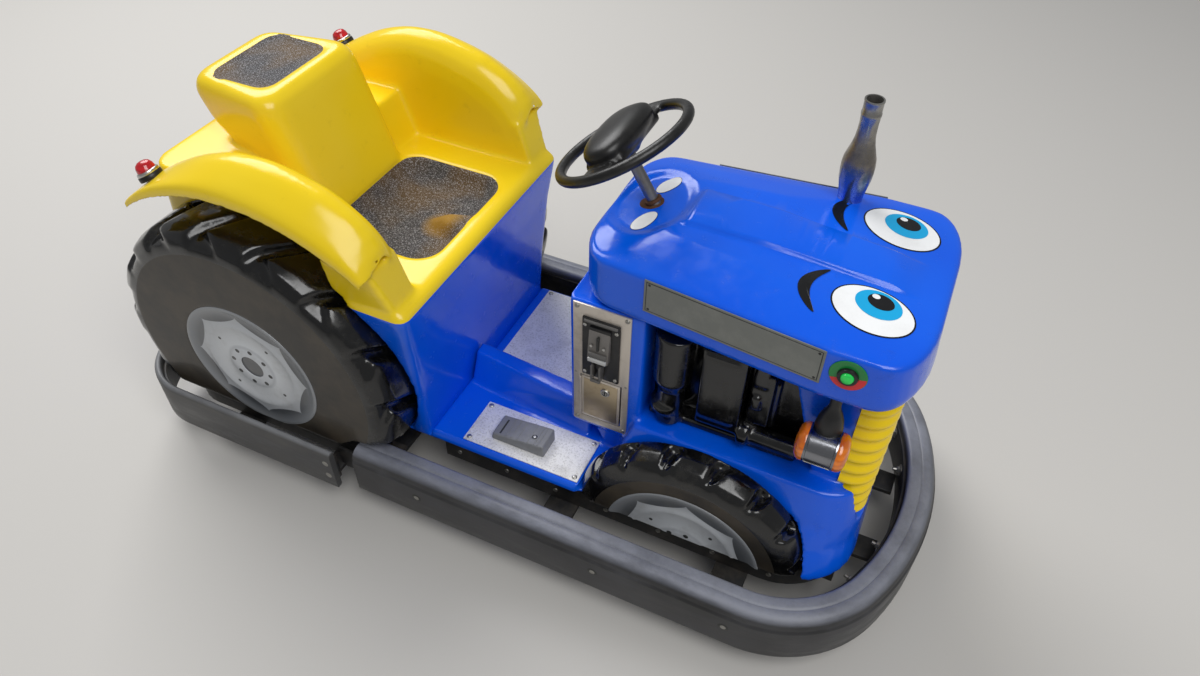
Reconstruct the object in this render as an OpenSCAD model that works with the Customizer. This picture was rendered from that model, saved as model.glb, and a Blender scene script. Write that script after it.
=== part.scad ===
// Battery bumper car moulded as a small tractor: steel frame, rubber bumper,
// glass-fibre body with mock tractor wheels, and real running wheels underneath.
// X is forward, Y is left, Z is up, and the floor is at Z = 0.

/* [Bumpers] */
// Half width over the front rubber bumper
bumper_half_w = 358; // [340:1:370]
// Thickness of the front rubber bumper
bumper_t = 57; // [45:1:65]
// Underside of both bumpers above the floor
bumper_z0 = 60; // [50:1:70]
// Height of the front rubber bumper
bumper_h = 111; // [95:1:120]
// Foremost point of the front bumper
bumper_x1 = 796; // [780:1:830]
// Rear ends of the front bumper
bumper_x0 = -244; // [-250:1:-236]
// Outer radius of the front bumper's corners
bumper_corner_r = 240; // [220:1:250]
// Gap between the rear mock tyres and the band of the rear strip
strip_gap = 21; // [15:1:30]
// Thickness of the rear strip
strip_t = 14; // [10:1:18]
// Height of the rear strip
strip_h = 105; // [90:1:112]
// Front ends of the rear strip
strip_x1 = -282; // [-300:1:-270]
// Rearmost face of the rear strip
strip_x0 = -796; // [-820:1:-790]
// Outer radius of the rear strip's corners
strip_corner_r = 130; // [110:1:150]
// Thickness of the steel bands behind the bumpers
band_t = 6; // [5:1:8]

/* [Frame] */
// Half distance between the frame's two long tubes
rail_y = 150; // [140:1:160]
// Size of the frame's square tubes
tube = 40; // [36:1:44]
// Underside of the frame's tubes above the floor
rail_z0 = 82; // [78:1:86]

/* [Running gear] */
// Diameter of the rear running wheels
roller_d = 200; // [180:1:210]
// Width of the rear running wheels
roller_w = 46; // [36:1:50]
// Distance of the rear running wheels from the middle
roller_y = 92; // [84:1:98]
// Diameter of the driven front wheel
drive_d = 220; // [200:1:230]
// Width of the driven front wheel
drive_w = 60; // [50:1:66]
// Diameter of the rear axle
axle_d = 20; // [16:1:24]
// Running gap beside each wheel
wheel_gap = 6; // [5.5:0.5:9]

/* [Mock wheels] */
// Place of the rear mock wheels along the car
rear_x = -460; // [-466:1:-454]
// Height of the rear mock wheels' centre
rear_z = 290; // [284:1:296]
// Radius of the rear mock tyres over the lugs
rear_r = 306; // [298:1:310]
// Outer face of the rear mock tyres from the middle
rear_face_y = 335; // [328:1:338]
// Underside of the rear mock wheels
rear_cut_z = 148; // [142:1:156]
// Place of the front mock wheels along the car
front_x = 393; // [385:1:400]
// Height of the front mock wheels' centre
front_z = 119; // [112:1:126]
// Radius of the front mock tyres over the lugs
front_r = 218; // [212:1:222]
// Outer face of the front mock tyres from the middle
front_face_y = 248; // [244:1:256]
// Radius of the printed wheel faces
face_r = 147; // [140:1:152]

/* [Body] */
// Underside of the body above the floor
body_z0 = 151; // [149:1:156]
// Wall of the glass-fibre body
wall = 6; // [4.5:0.5:8]
// Height of the seat's front edge, where yellow meets blue
split_z = 498; // [490:1:506]
// Height of the seat deck above the floor
deck_z = 515; // [508:1:522]
// Half width of the body at the seat's front edge
shoulder_y = 285; // [278:1:290]
// Half width of the body at its lower edge
skirt_y = 243; // [238:1:246]
// Half width between the mudguards' inner walls
tub_y = 208; // [200:1:212]
// Rise of the mudguards' crest over their outer edge
guard_rise = 40; // [34:1:46]
// Radius of the mudguards' outer edge
guard_edge_r = 430; // [422:1:436]
// Top of the backrest above the floor
back_z = 745; // [730:1:760]
// Half width of the backrest
back_half_w = 132; // [124:1:140]
// Height of the footboards above the floor
foot_z = 168; // [165:1:174]
// Top of the ledge beside the engine
ledge_z = 318; // [312:1:324]
// Underside of the bonnet above the floor
bonnet_z0 = 560; // [554:1:566]
// Top of the bonnet's side edge
bonnet_z1 = 665; // [658:1:672]
// Rise of the bonnet's middle over its edges
bonnet_crown = 18; // [10:1:24]
// Foremost point of the bonnet
bonnet_x1 = 692; // [688:1:698]
// Half width of the pedestal under the steering wheel
pedestal_y = 158; // [152:1:162]

/* [Steering] */
// Lean of the steering column from upright, in degrees
column_lean = 31.5; // [30:0.5:33]
// Diameter of the steering shaft
shaft_d = 20; // [16:1:22]
// Outer radius of the steering wheel
steer_r = 122; // [115:1:128]
// Thickness of the steering wheel's rim
rim_t = 19; // [16:1:22]
// Clearance of a turning shaft in its bush
fit = 0.05; // [0.02:0.01:0.1]

/* [Fittings] */
// Width of the stainless coin panel
panel_w = 104; // [98:1:106]
// Height of the stainless coin panel
panel_h = 288; // [276:1:292]
// Width of the blank name plates
plate_w = 288; // [270:1:300]
// Height of the blank name plates
plate_h = 64; // [58:1:68]
// Diameter of the side lamps
side_lamp_d = 64; // [58:1:68]
// Ribs on the front grille
grille_ribs = 11; // [8:1:13]

/* [Hidden] */
$fn = 64;

// Colours, as the photograph shows them
yellow = "#f2cc2c";
blue = "#0d3fc4";
rubber = "#2c2d30";
steel = "#77797c";
black = "#131313";
frame_paint = "#2f3134";

strip_half_w = rear_face_y + strip_gap + band_t + strip_t;
guard_crest_r = guard_edge_r + guard_rise;
bumper_z1 = bumper_z0 + bumper_h;
rail_z1 = rail_z0 + tube;
corner_x = 530 + bumper_x1 - 796;
corner_y = bumper_half_w - bumper_corner_r;
// The front arc meets both corner arcs smoothly, which fixes its radius
nose_dx = bumper_x1 - corner_x;
nose_r = (nose_dx * nose_dx + corner_y * corner_y
    - bumper_corner_r * bumper_corner_r) / (2 * (nose_dx - bumper_corner_r));
nose_cx = bumper_x1 - nose_r;
nose_a = atan2(corner_y, corner_x - nose_cx);
band_y = bumper_half_w - bumper_t - band_t;
strip_band_y = strip_half_w - strip_t - band_t;
guard_cx = rear_x + 45;
guard_cz = rear_z - 28;
guard_a0 = 52;
guard_a1 = 127;
side_y = tub_y + 7;
deck_front_x = rear_x + 345;
skirt_front_x = deck_front_x - 25;
tub_rear_x = rear_x + 78;
back_top_x = rear_x + 4;
back_rear_x = rear_x - 205;
shelf_z = deck_z + 97;
dish_d = 40;
dish_x0 = rear_x + 72;
dish_x1 = rear_x + 304;
dish_y = 142;
dish_r = 48;
top_dish_x0 = rear_x - 162;
top_dish_x1 = rear_x - 24;
top_dish_y = 94;
top_dish_d = 12;
body_rear_x = rear_x - 245;
tyre_w = rear_face_y - side_y - 0.3;
tyre_back_y = rear_face_y - tyre_w;
arch_gap = 3;
foot_front_x = front_x - 183;
plinth_x0 = foot_front_x;
plinth_x1 = bonnet_x1 - 10;
recess_x0 = foot_front_x + 55;
pedestal_x0 = recess_x0 - 133;
column_x = 208;
column_z = 669;
hub_s = 114;
fork_x = front_x;
fork_joint_z = column_z - (fork_x - column_x) / tan(column_lean);
shaft_down = (fork_x - column_x) / sin(column_lean);

function arc(cx, cy, r, a0, a1, n) =
    [for (i = [0:n]) [cx + r * cos(a0 + (a1 - a0) * i / n),
                      cy + r * sin(a0 + (a1 - a0) * i / n)]];

// Plan of a body moulding: x0 rear, x1 front, half width w, corner radii
function plan(x0, x1, w, r0, r1, n = 6) = concat(
    arc(x1 - r1, -w + r1, r1, -90, 0, n), arc(x1 - r1, w - r1, r1, 0, 90, n),
    arc(x0 + r0, w - r0, r0, 90, 180, n), arc(x0 + r0, -w + r0, r0, 180, 270, n));

// Moulding through convex rings of 3-D points, one hull from each ring to the next
module loft(rings) {
    for (j = [0:len(rings) - 2]) hull() polyhedron(
        points = concat(rings[j], rings[j + 1]),
        faces = [for (i = [0:len(rings[0]) - 1])
            [i, (i + 1) % len(rings[0]), len(rings[0]) + i]]);
}

// One closed skin through rings of 3-D points, for a path that bends
module skin(rings) {
    n = len(rings[0]);
    m = len(rings);
    polyhedron(
        points = [for (ring = rings) each ring],
        faces = concat([[for (i = [0:n - 1]) i]],
            [for (j = [0:m - 2]) for (i = [0:n - 1]) let (k = (i + 1) % n)
                each [[j * n + i, (j + 1) * n + k, j * n + k],
                      [j * n + i, (j + 1) * n + i, (j + 1) * n + k]]],
            [[for (i = [0:n - 1]) m * n - 1 - i]]),
        convexity = 6);
}

function lift(ring, z) = [for (p = ring) [p[0], p[1], z]];

module both_sides() {
    children();
    mirror([0, 1, 0]) children();
}

// Path of the front bumper's outer face: place and outward direction
function path_arc(cx, cy, r, a0, a1, n) =
    [for (i = [0:n]) let (a = a0 + (a1 - a0) * i / n)
        [cx + r * cos(a), cy + r * sin(a), cos(a), sin(a)]];
nose_half = concat([[bumper_x0, bumper_half_w, 0, 1]],
    path_arc(corner_x, corner_y, bumper_corner_r, 90, nose_a, 14),
    path_arc(nose_cx, 0, nose_r, nose_a * 5 / 6, 0, 5));
nose_path = concat([for (p = nose_half) [p[0], -p[1], p[2], -p[3]]],
    [for (i = [len(nose_half) - 2:-1:0]) nose_half[i]]);

// Sweeps a section of (distance inwards, height) along the front bumper's path
module nose_sweep(section) {
    skin([for (p = nose_path)
        [for (q = section) [p[0] - p[2] * q[0], p[1] - p[3] * q[0], q[1]]]]);
}

// Sweeps a profile (distance inwards, height) along the rear strip's path
module tail_sweep() {
    cx = strip_x0 + strip_corner_r;
    cy = strip_half_w - strip_corner_r;
    translate([0, -cy, 0]) rotate([90, 0, 180])
        linear_extrude(2 * cy)
        translate([-strip_x0, 0]) mirror([1, 0]) children();
    both_sides() {
        translate([cx, cy, 0]) rotate([0, 0, 90])
            rotate_extrude(angle = 90, $fn = 128)
            translate([strip_corner_r, 0]) mirror([1, 0]) children();
        translate([strip_x1, 0, 0]) rotate([90, 0, -90])
            linear_extrude(strip_x1 - cx)
            translate([-strip_half_w, 0]) children();
    }
}

module front_bumper() {
    z0 = bumper_z0;
    z1 = bumper_z1;
    t = bumper_t;
    // Flat side with a step under the rounded upper lip
    color(rubber) nose_sweep([[t, z0], [t, z1 - 9], [t - 3, z1 - 3], [t - 12, z1],
        [20, z1], [10, z1 - 3], [4, z1 - 9], [2.5, z1 - 16], [2.5, z1 - 19],
        [0, z1 - 21], [0, z0 + 8], [6, z0]]);
}

module bumper_band() {
    z0 = bumper_z0 + 22;
    z1 = bumper_z1 - 18;
    t = bumper_t;
    color(steel) nose_sweep([[t + band_t, z0], [t + band_t, z1], [t, z1], [t, z0]]);
}

module rear_bumper() {
    z0 = bumper_z0 + 2;
    z1 = z0 + strip_h;
    color(rubber) tail_sweep()
        polygon([[3, z0], [0, z0 + 4], [0, z1 - 6], [4, z1],
            [strip_t - 3, z1], [strip_t, z1 - 3], [strip_t, z0]]);
}

module rear_band() {
    color(steel) tail_sweep()
        translate([strip_t, bumper_z0 + 22]) square([band_t, strip_h - 40]);
}

module bar(x0, x1, y0, y1, z0, z1) {
    translate([x0, y0, z0]) cube([x1 - x0, y1 - y0, z1 - z0]);
}

rail_x0 = body_rear_x + 55;
rail_x1 = plinth_x1 - 60;
head_r = 30;
axle_x = rear_x + 20;
axle_z = roller_d / 2;

// Two long tubes, bored for the rear axle
module frame_rails() {
    color(frame_paint) both_sides() difference() {
        union() {
            bar(rail_x0, rail_x1 + tube, rail_y - tube / 2, rail_y + tube / 2, rail_z0, rail_z1);
            bar(axle_x - 20, axle_x + 20, rail_y - 8, rail_y + 8, axle_z - 24, rail_z0 + 1);
        }
        translate([axle_x, 2 * rail_y, axle_z]) rotate([90, 0, 0])
            cylinder(d = axle_d, h = 2 * rail_y);
    }
}

// Cross tubes under the tail, the seat, the dash and the nose
module cross_tubes() {
    y = rail_y - tube / 2;
    color(frame_paint) for (x = [rail_x0, -160, 110, rail_x1])
        bar(x, x + tube, -y, y, rail_z0, rail_z1);
}

// Flat arms that carry the bumpers' steel bands
module outriggers() {
    // Columns: place along the car, width, how far out it reaches
    arms = [[-560, 60, strip_band_y], [-320, 36, strip_band_y],
        [bumper_x0, 50, band_y], [120, 60, band_y], [460, 60, band_y]];
    z = rail_z0 + 8;
    color(frame_paint) both_sides() {
        for (a = arms) bar(a[0], a[0] + a[1], rail_y + tube / 2, a[2], z, z + 10);
        bar(rail_x1 + tube, nose_cx + sqrt(pow(nose_r - bumper_t - band_t, 2)
            - 108 * 108) - 0.3, 60, 108, z, z + 10);
        bar(strip_x0 + strip_t + band_t, rail_x0, 60, 110, z, z + 10);
    }
}

// Posts on the long tubes that carry the body
module body_posts() {
    // Columns: place along the car, height of the top
    posts = [[rail_x0 + 30, body_z0], [-200, body_z0],
        [foot_front_x - 90, foot_z - wall], [fork_x + 120, body_z0]];
    color(frame_paint) both_sides() for (p = posts)
        bar(p[0], p[0] + 30, rail_y - 15, rail_y + 15, rail_z1, p[1]);
}

// Bridge over the driven wheel, with the steering head in its middle
module steering_bridge() {
    z = head_z1 - 12;
    color(frame_paint) {
        both_sides() bar(fork_x - 25, fork_x + 25, rail_y - 12, rail_y + 12, rail_z1, z);
        difference() {
            union() {
                bar(fork_x - 25, fork_x + 25, -rail_y - 12, rail_y + 12, z, head_z1);
                translate([fork_x, 0, head_z0]) cylinder(r = head_r, h = head_z1 - head_z0);
            }
            translate([fork_x, 0, head_z0 - 1]) cylinder(d = spindle_d + 2 * fit, h = 200);
        }
    }
}

head_z0 = drive_d + wheel_gap + 14;
head_z1 = head_z0 + 34;
spindle_d = 28;
ball_r = 12;

module batteries() {
    color("#4a4d52") both_sides() {
        bar(-322, -152, 8, 128, rail_z1, rail_z1 + 175);
        bar(-332, -142, 4, 132, rail_z1, rail_z1 + 4);
    }
}

// Lower rear body: blue box under the seat, flared in front of the tyres
module rear_body_solid(t) {
    // Columns: share of the height, front face, half width
    rows = [[0, skirt_front_x, skirt_y], [0.35, skirt_front_x + 5, skirt_y + 9],
        [0.75, skirt_front_x + 14, skirt_y + 26], [1, deck_front_x, shoulder_y]];
    h = split_z - body_z0;
    bx = -300;
    difference() {
        loft([for (r = rows) lift(plan(bx, r[1] - t, r[2] - t, 4, 18),
            body_z0 + h * r[0] - (r[0] == 0 ? t : 0))]);
        both_sides() translate([rear_x, side_y - t, rear_z]) rotate([-90, 0, 0])
            cylinder(r = rear_r + arch_gap + t, h = 200, $fn = 96);
    }
    // Columns: share of the height, rear face
    tail = [[0, body_rear_x + 20], [0.5, body_rear_x + 6], [1, body_rear_x]];
    loft([for (r = tail) lift(plan(r[1] + t, bx + 2 + (t > 0 ? 40 : 0),
        side_y - t, 40, 4), body_z0 + h * r[0] - (r[0] == 0 ? t : 0))]);
}

module rear_body() {
    color(blue) difference() {
        rear_body_solid(0);
        difference() {
            rear_body_solid(wall);
            translate([-900, -400, split_z - wall]) cube([1200, 800, 100]);
        }
        // The deck above is open to the seat tub
        translate([body_rear_x + 60, -tub_y + 40, split_z - 20])
            cube([deck_front_x - 25 - body_rear_x - 60, 2 * tub_y - 80, 40]);
    }
}

// Mudguard along its length. Columns: angle, share of the crest's rise, drop of the edge
guard_rows = [[52, 0.25, 10], [56, 0.62, 4], [62, 0.86, 2], [70, 1, 0], [84, 1, 0],
    [92, 0.87, 1], [99, 0.66, 3], [106, 0.4, 5], [113, 0.2, 7], [120, 0.1, 11],
    [127, 0.06, 16]];
guard_a = [for (i = [0:25]) guard_a0 + 3 * i];

// Radius of the crest at one angle
function guard_at(a) = guard_edge_r - lookup(a, [for (r = guard_rows) [r[0], r[2]]])
    + guard_rise * lookup(a, [for (r = guard_rows) [r[0], r[1]]]);

// Section at one angle: inner wall, rounded crest, slope down to the outer lip
function guard_section(a, t) = let (
    e = guard_edge_r - lookup(a, [for (r = guard_rows) [r[0], r[2]]]),
    c = guard_at(a), k = c - e,
    y0 = tub_y + (t > 0 ? 7 : 0), y1 = rear_face_y - 20 - t)
    [for (q = [[230 - t, y0], [c - 62 - t, y0], [c - 36 - t, y0 + 4], [c - 18 - t, y0 + 13],
        [c - 6 - t, y0 + 27], [c - t, 250], [c - 0.08 * k - t, 264], [e + 0.68 * k - t, 280],
        [e + 0.3 * k - t, y1 - 14], [e + 2 - t, y1 - 4], [e - 6 - t, y1], [230 - t, y1]])
        [guard_cx + q[0] * cos(a), q[1], guard_cz + q[0] * sin(a)]];

module guard_solid(t) {
    // The hollow runs out at both ends
    n = len(guard_a);
    skin([for (i = [0:n - 1])
        guard_section(guard_a[i] + (t == 0 ? 0 : i == 0 ? -2 : i == n - 1 ? 2 : 0), t)]);
}

module guard() {
    difference() {
        guard_solid(0);
        guard_solid(wall);
        // Open below, outside its inner wall
        translate([guard_cx, side_y, guard_cz]) rotate([-90, 0, 0])
            cylinder(r = guard_edge_r - 28, h = 500, $fn = 96);
    }
}

// Dish in the seat, grown by g all round
module dish(g) {
    // Columns: share of the depth, how far the wall has come in
    rows = [[0, 0], [0.3, 4], [0.65, 12], [0.9, 24], [1, 40]];
    n = len(rows);
    loft([for (i = [0:n - 1]) let (r = rows[i])
        lift(plan(dish_x0 + r[1] - g, dish_x1 - r[1] + g, dish_y - r[1] + g,
            dish_r + g - r[1] * 0.4, dish_r + g - r[1] * 0.4),
            deck_z - dish_d * r[0] + (i == 0 ? (g > 0 ? -1 : 1) : i == n - 1 ? -g : 0))]);
}

// Hump that rises out of the dish towards its front rim
module saddle(g) {
    z = deck_z - dish_d;
    // Columns: place along the car, radius, top above the dish's floor
    rows = [[dish_x1 - 8, 40 + g, 35 + g], [dish_x1 - 42, 32 + g, 30 + g],
        [dish_x1 - 84, 16 + g, 10 + g]];
    for (i = [0:len(rows) - 2]) hull() for (r = [rows[i], rows[i + 1]])
        translate([r[0], 0, z - 3]) {
            cylinder(r = r[1], h = 1, $fn = 32);
            cylinder(r1 = r[1] * 0.8, r2 = r[1] * 0.45, h = r[2] + 3, $fn = 32);
        }
}

// Plan of the backrest pod: wider at the front
function pod_plan(x0, x1, w0, w1, r) = concat(
    arc(x1 - r, -w1 + r, r, -90, 0, 6), arc(x1 - r, w1 - r, r, 0, 90, 6),
    arc(x0 + r, w0 - r, r, 90, 180, 6), arc(x0 + r, -w0 + r, r, 180, 270, 6));

module pod(t) {
    w = back_half_w;
    lean = (back_top_x - tub_rear_x) / (back_z - deck_z);
    // Columns: height, rear face, inset at the rear's sides, at the front's sides, corner radius
    rows = [[deck_z - 2, back_rear_x + 92, 34, 6, 26], [shelf_z, back_rear_x + 60, 30, 2, 32],
        [shelf_z + 50, back_rear_x + 24, 24, 0, 36], [back_z - 34, back_rear_x + 8, 20, 0, 38],
        [back_z - 14, back_rear_x + 12, 24, 3, 37], [back_z - 3, back_rear_x + 24, 34, 12, 32],
        [back_z, back_rear_x + 36, 44, 22, 28]];
    n = len(rows);
    loft([for (i = [0:n - 1]) let (r = rows[i])
        lift(pod_plan(r[1] + t, tub_rear_x + lean * (r[0] - deck_z)
            - max(0, r[0] - back_z + 16) * 0.8 - t, w - r[2] - t, w - r[3] - t, r[4]),
            r[0] + (t == 0 ? 0 : i == 0 ? -1 : i == n - 1 ? -t : 0))]);
}

module top_dish(g) {
    loft([lift(plan(top_dish_x0 - g, top_dish_x1 + g, top_dish_y + g, 30 + g, 30 + g),
            back_z + (g > 0 ? -0.5 : 1)),
          lift(plan(top_dish_x0 + 4 - g, top_dish_x1 - 4 + g, top_dish_y - 4 + g, 28 + g, 28 + g),
            back_z - top_dish_d * 0.6),
          lift(plan(top_dish_x0 + 14 - g, top_dish_x1 - 14 + g, top_dish_y - 14 + g, 22 + g, 22 + g),
            back_z - top_dish_d - g)]);
}

module seat_shell() {
    front = deck_front_x;
    lean = (back_top_x - tub_rear_x) / (back_z - deck_z);
    // The backrest's sides stand behind the pod
    side_x = tub_rear_x - 24;
    color(yellow) difference() {
        union() {
            both_sides() difference() {
                guard();
                // The mudguard's inner wall stops at the deck
                translate([-900, 0, 0]) cube([1400, 400, split_z]);
            }
            difference() {
                union() {
                    // Deck with rounded front corners
                    loft([lift(plan(-268.5, front, shoulder_y, 4, 18), split_z),
                          lift(plan(-268.5, front - 4, shoulder_y - 2, 4, 18), deck_z - 10),
                          lift(plan(-268.5, front - 12, shoulder_y - 6, 4, 18), deck_z - 3),
                          lift(plan(-268.5, front - 22, shoulder_y - 12, 4, 18), deck_z)]);
                    // Shoulders in front of the tyres, up to the mudguards' tips
                    both_sides() hull() {
                        translate([-262, tub_y + 2, deck_z - 6])
                            cube([front - 20 + 262, shoulder_y - 6 - tub_y - 2, 1]);
                        translate([-262, tub_y + 2, 596])
                            cube([98, 82, 1]);
                    }
                    // Body behind the seat, up to the shelf beside the backrest
                    loft([lift(plan(body_rear_x, -262, side_y, 40, 4), split_z),
                          lift(plan(body_rear_x + 12, -262, side_y, 40, 4), shelf_z)]);
                }
                both_sides() translate([rear_x, side_y, rear_z]) rotate([-90, 0, 0])
                    cylinder(r = rear_r + arch_gap, h = 200, $fn = 96);
                // Legroom of the tub in front of the backrest
                rotate([90, 0, 0]) linear_extrude(2 * tub_y, center = true)
                    polygon([[side_x, deck_z], [side_x + lean * 300, deck_z + 300],
                        [front, deck_z + 300], [front, deck_z]]);
            }
            // Backrest pod
            pod(0);
            // Underside of the dish
            dish(wall);
        }
        // Hollow inside, round the dish
        difference() {
            union() {
                loft([lift(plan(body_rear_x + wall, front - wall, tub_y - 3, 30, 10), split_z - 1),
                      lift(plan(body_rear_x + wall, front - wall, tub_y - 3, 30, 10), split_z + 1)]);
                loft([lift(plan(body_rear_x + wall, side_x - 12, tub_y - 3, 34, 4), split_z - 1),
                      lift(plan(body_rear_x + wall + 12, side_x - 42, tub_y - 3, 34, 4),
                          shelf_z - wall)]);
                pod(wall + 1);
            }
            dish(wall);
        }
        // Holes of the tail lamps
        both_sides() tail_lamp_place() cylinder(r = 9, h = 40, center = true, $fn = 24);
        difference() {
            dish(0);
            saddle(0);
        }
        top_dish(0);
    }
}

// Grained facing that lines the dish and the saddle
module seat_mat() {
    color("#3b3b3d") difference() {
        dish(-0.2);
        dish(-3.2);
        translate([0, 0, deck_z - 2]) cube([900, 600, 10], center = true);
        saddle(0.2);
    }
}

module back_mat() {
    color("#2c2c2e") difference() {
        top_dish(-0.2);
        translate([0, 0, 3]) top_dish(-3.2);
        translate([-500, 0, back_z + 3]) cube([900, 600, 10], center = true);
    }
}

module foot_tub() {
    x0 = skirt_front_x;
    x1 = foot_front_x;
    color(blue) difference() {
        union() {
            loft([lift(plan(x0, x1, skirt_y, 2, 2), body_z0),
                  lift(plan(x0, x1, skirt_y - 2, 2, 2), body_z0 + 7),
                  lift(plan(x0, x1, skirt_y - 9, 2, 2), foot_z)]);
            // Ridge between the two footwells
            hull() {
                translate([x0 + 8, -92, foot_z - 2]) cube([1, 62, 1]);
                translate([x0 + 8, -62, foot_z + 64]) cube([1, 28, 1]);
                translate([pedestal_x0 + 14, -118, foot_z - 2]) cube([1, 76, 1]);
                translate([pedestal_x0 + 14, -100, foot_z + 64]) cube([1, 40, 1]);
            }
        }
        translate([x0 + wall, -skirt_y + wall + 3, body_z0 - 1])
            cube([x1 - x0 - 2 * wall, 2 * (skirt_y - wall - 3), foot_z - wall - body_z0 + 1]);
        // It stops short of the pedestal, the rear body and the front mock tyres
        translate([0, 0, 0.2]) pedestal_solid(-0.3);
        rear_body_solid(-0.3);
        both_sides() translate([front_x, front_face_y - 60.5, front_z]) rotate([-90, 0, 0])
            cylinder(r = front_r + 0.5, h = 100, $fn = 96);
    }
}

// Base moulding round the front mock wheels, open below
module plinth_solid(t) {
    // Columns: height, rear face, front face, half width, front corner radius
    rows = [[body_z0, plinth_x0, plinth_x1, 247, 112],
        [body_z0 + 10, plinth_x0, plinth_x1 - 1, 245, 112],
        [body_z0 + 50, plinth_x0 + 12, plinth_x1 - 6, 214, 100],
        [body_z0 + 92, plinth_x0 + 24, plinth_x1 - 8, 192, 84],
        [ledge_z, recess_x0 - 6, plinth_x1 - 20, 172, 70]];
    n = len(rows);
    loft([for (i = [0:n - 1]) let (r = rows[i])
        lift(plan(r[1] + t, r[2] - t, r[3] - t, 4, r[4]),
            r[0] + (t == 0 ? 0 : i == 0 ? -1 : i == n - 1 ? -t : 0))]);
}

module front_plinth() {
    color(blue) difference() {
        plinth_solid(0);
        plinth_solid(wall);
        // The mock wheels sit in the sides
        both_sides() translate([front_x, front_face_y - 60.5, front_z]) rotate([-90, 0, 0])
            cylinder(r = front_r + 0.5, h = 100, $fn = 96);
        // The grille and the nose column stand down through its front
        translate([0, 0, grille_z0 - 0.3]) linear_extrude(200)
            polygon(plan(plinth_x1 - 80, plinth_x1 + 20, 142.4, 1, 60));
        // It fits round the pedestal
        pedestal_solid(-0.3);
        // Room for the steering under the nose column
        translate([0, 0, ledge_z - wall - 1]) linear_extrude(wall + 2)
            polygon(plan(recess_x0 + 10, plinth_x1 - 70, 86, 4, 4));
    }
}

// Upright box under the steering wheel, undercut at its foot; open to the front
module pedestal_solid(t) {
    // Columns: height, rear face, half width, rear corner radius
    rows = [[foot_z, pedestal_x0 + 46, 122, 14], [foot_z + 50, pedestal_x0 + 28, 127, 12],
        [258, pedestal_x0 - 2, pedestal_y - 3, 8], [264, pedestal_x0 - 3, pedestal_y, 7],
        [bonnet_z0, pedestal_x0 - 4, pedestal_y, 7]];
    n = len(rows);
    loft([for (i = [0:n - 1]) let (r = rows[i])
        lift(plan(r[1] + t, recess_x0 - 3 + abs(t), r[2] - t, r[3], 2),
            r[0] + (t == 0 ? 0 : i == 0 ? -1 : i == n - 1 ? 1 : 0))]);
}

module pedestal() {
    color(blue) difference() {
        pedestal_solid(0);
        pedestal_solid(wall);
        // Openings of the coin acceptor and the cash box
        translate([panel_x - 28, -pedestal_y - 2, panel_z - 9]) cube([56, 30, 118]);
        translate([panel_x - 40, -pedestal_y - 2, panel_z - panel_h / 2 + 14])
            cube([80, 30, 108]);
    }
}

core_y = 92;
grille_z0 = body_z0 + 92;

// Blue column under the bonnet's nose, and the spine between the engine sides
module nose_column() {
    x1 = plinth_x1 - 8;
    xt = recess_x0 + 232;
    xb = recess_x0 + 305;
    h = bonnet_z0 - ledge_z;
    color(blue) difference() {
        union() {
            rotate([90, 0, 0]) linear_extrude(2 * 136, center = true)
                polygon([[xb, ledge_z], [xt, bonnet_z0], [x1 - 62, bonnet_z0], [x1 - 62, ledge_z]]);
            translate([0, 0, grille_z0]) linear_extrude(bonnet_z0 - grille_z0)
                polygon(plan(x1 - 70, x1 - 9, 136, 1, 52));
            translate([recess_x0, -core_y, ledge_z])
                cube([x1 - 80 - recess_x0, 2 * core_y, h]);
        }
        translate([0, 0, grille_z0 - 1]) linear_extrude(bonnet_z0 - grille_z0 + 2)
            polygon(plan(x1 - 86, x1 - 9 - wall, 136 - wall, 1, 46));
        rotate([90, 0, 0]) linear_extrude(2 * (136 - wall), center = true)
            polygon([[xb + wall, ledge_z - 1], [xt + wall, bonnet_z0 + 1],
                [x1 - 60, bonnet_z0 + 1], [x1 - 60, ledge_z - 1]]);
        translate([recess_x0 - 1, -core_y + wall, ledge_z - 1])
            cube([x1 - 80 - recess_x0, 2 * (core_y - wall), h + 2]);
    }
}

// Half width of the bonnet along the car: tapered, then straight
function bonnet_w(x) = 155 + 45 * min(1, max(0, (x - 140) / 410));

function bonnet_plan(x0, x1) = concat(
    arc(x1 - 60, -40, 60, -90, 0, 7), arc(x1 - 60, 40, 60, 0, 90, 7),
    [[550, 100], [400, 100]],
    arc(x0 + 50, 50, 50, 90, 180, 6), arc(x0 + 50, -50, 50, 180, 270, 6),
    [[400, -100], [550, -100]]);

module bonnet_solid(t) {
    // Columns: height, inset at the rear, at the front, at the sides, share of the crown
    rows = [[bonnet_z0, 12, 16, 8, 0], [bonnet_z0 + 12, 4, 4, 0, 0],
        [bonnet_z0 + 28, 0, 0, 0, 0], [bonnet_z1 - 8, 0, 6, 0, 0],
        [bonnet_z1 - 5, 5, 14, 5, 0], [bonnet_z1 - 1, 16, 30, 16, 0],
        [bonnet_z1, 34, 56, 36, 0.3], [bonnet_z1, 90, 130, 90, 1]];
    xr = pedestal_x0 + 6;
    n = len(rows);
    loft([for (i = [0:n - 1]) let (r = rows[i])
        [for (p = bonnet_plan(xr + r[1] + t, bonnet_x1 - r[2] - t))
            let (w = (bonnet_w(p[0]) - r[3] - t) / 100)
            [p[0], p[1] * w, r[0] + bonnet_crown * r[4]
                - (i > 4 ? 24 * max(0, (p[0] - 420) / 240) : 0)
                + (i == 0 ? t : i > 4 ? -t : 0)]]]);
}

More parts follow.
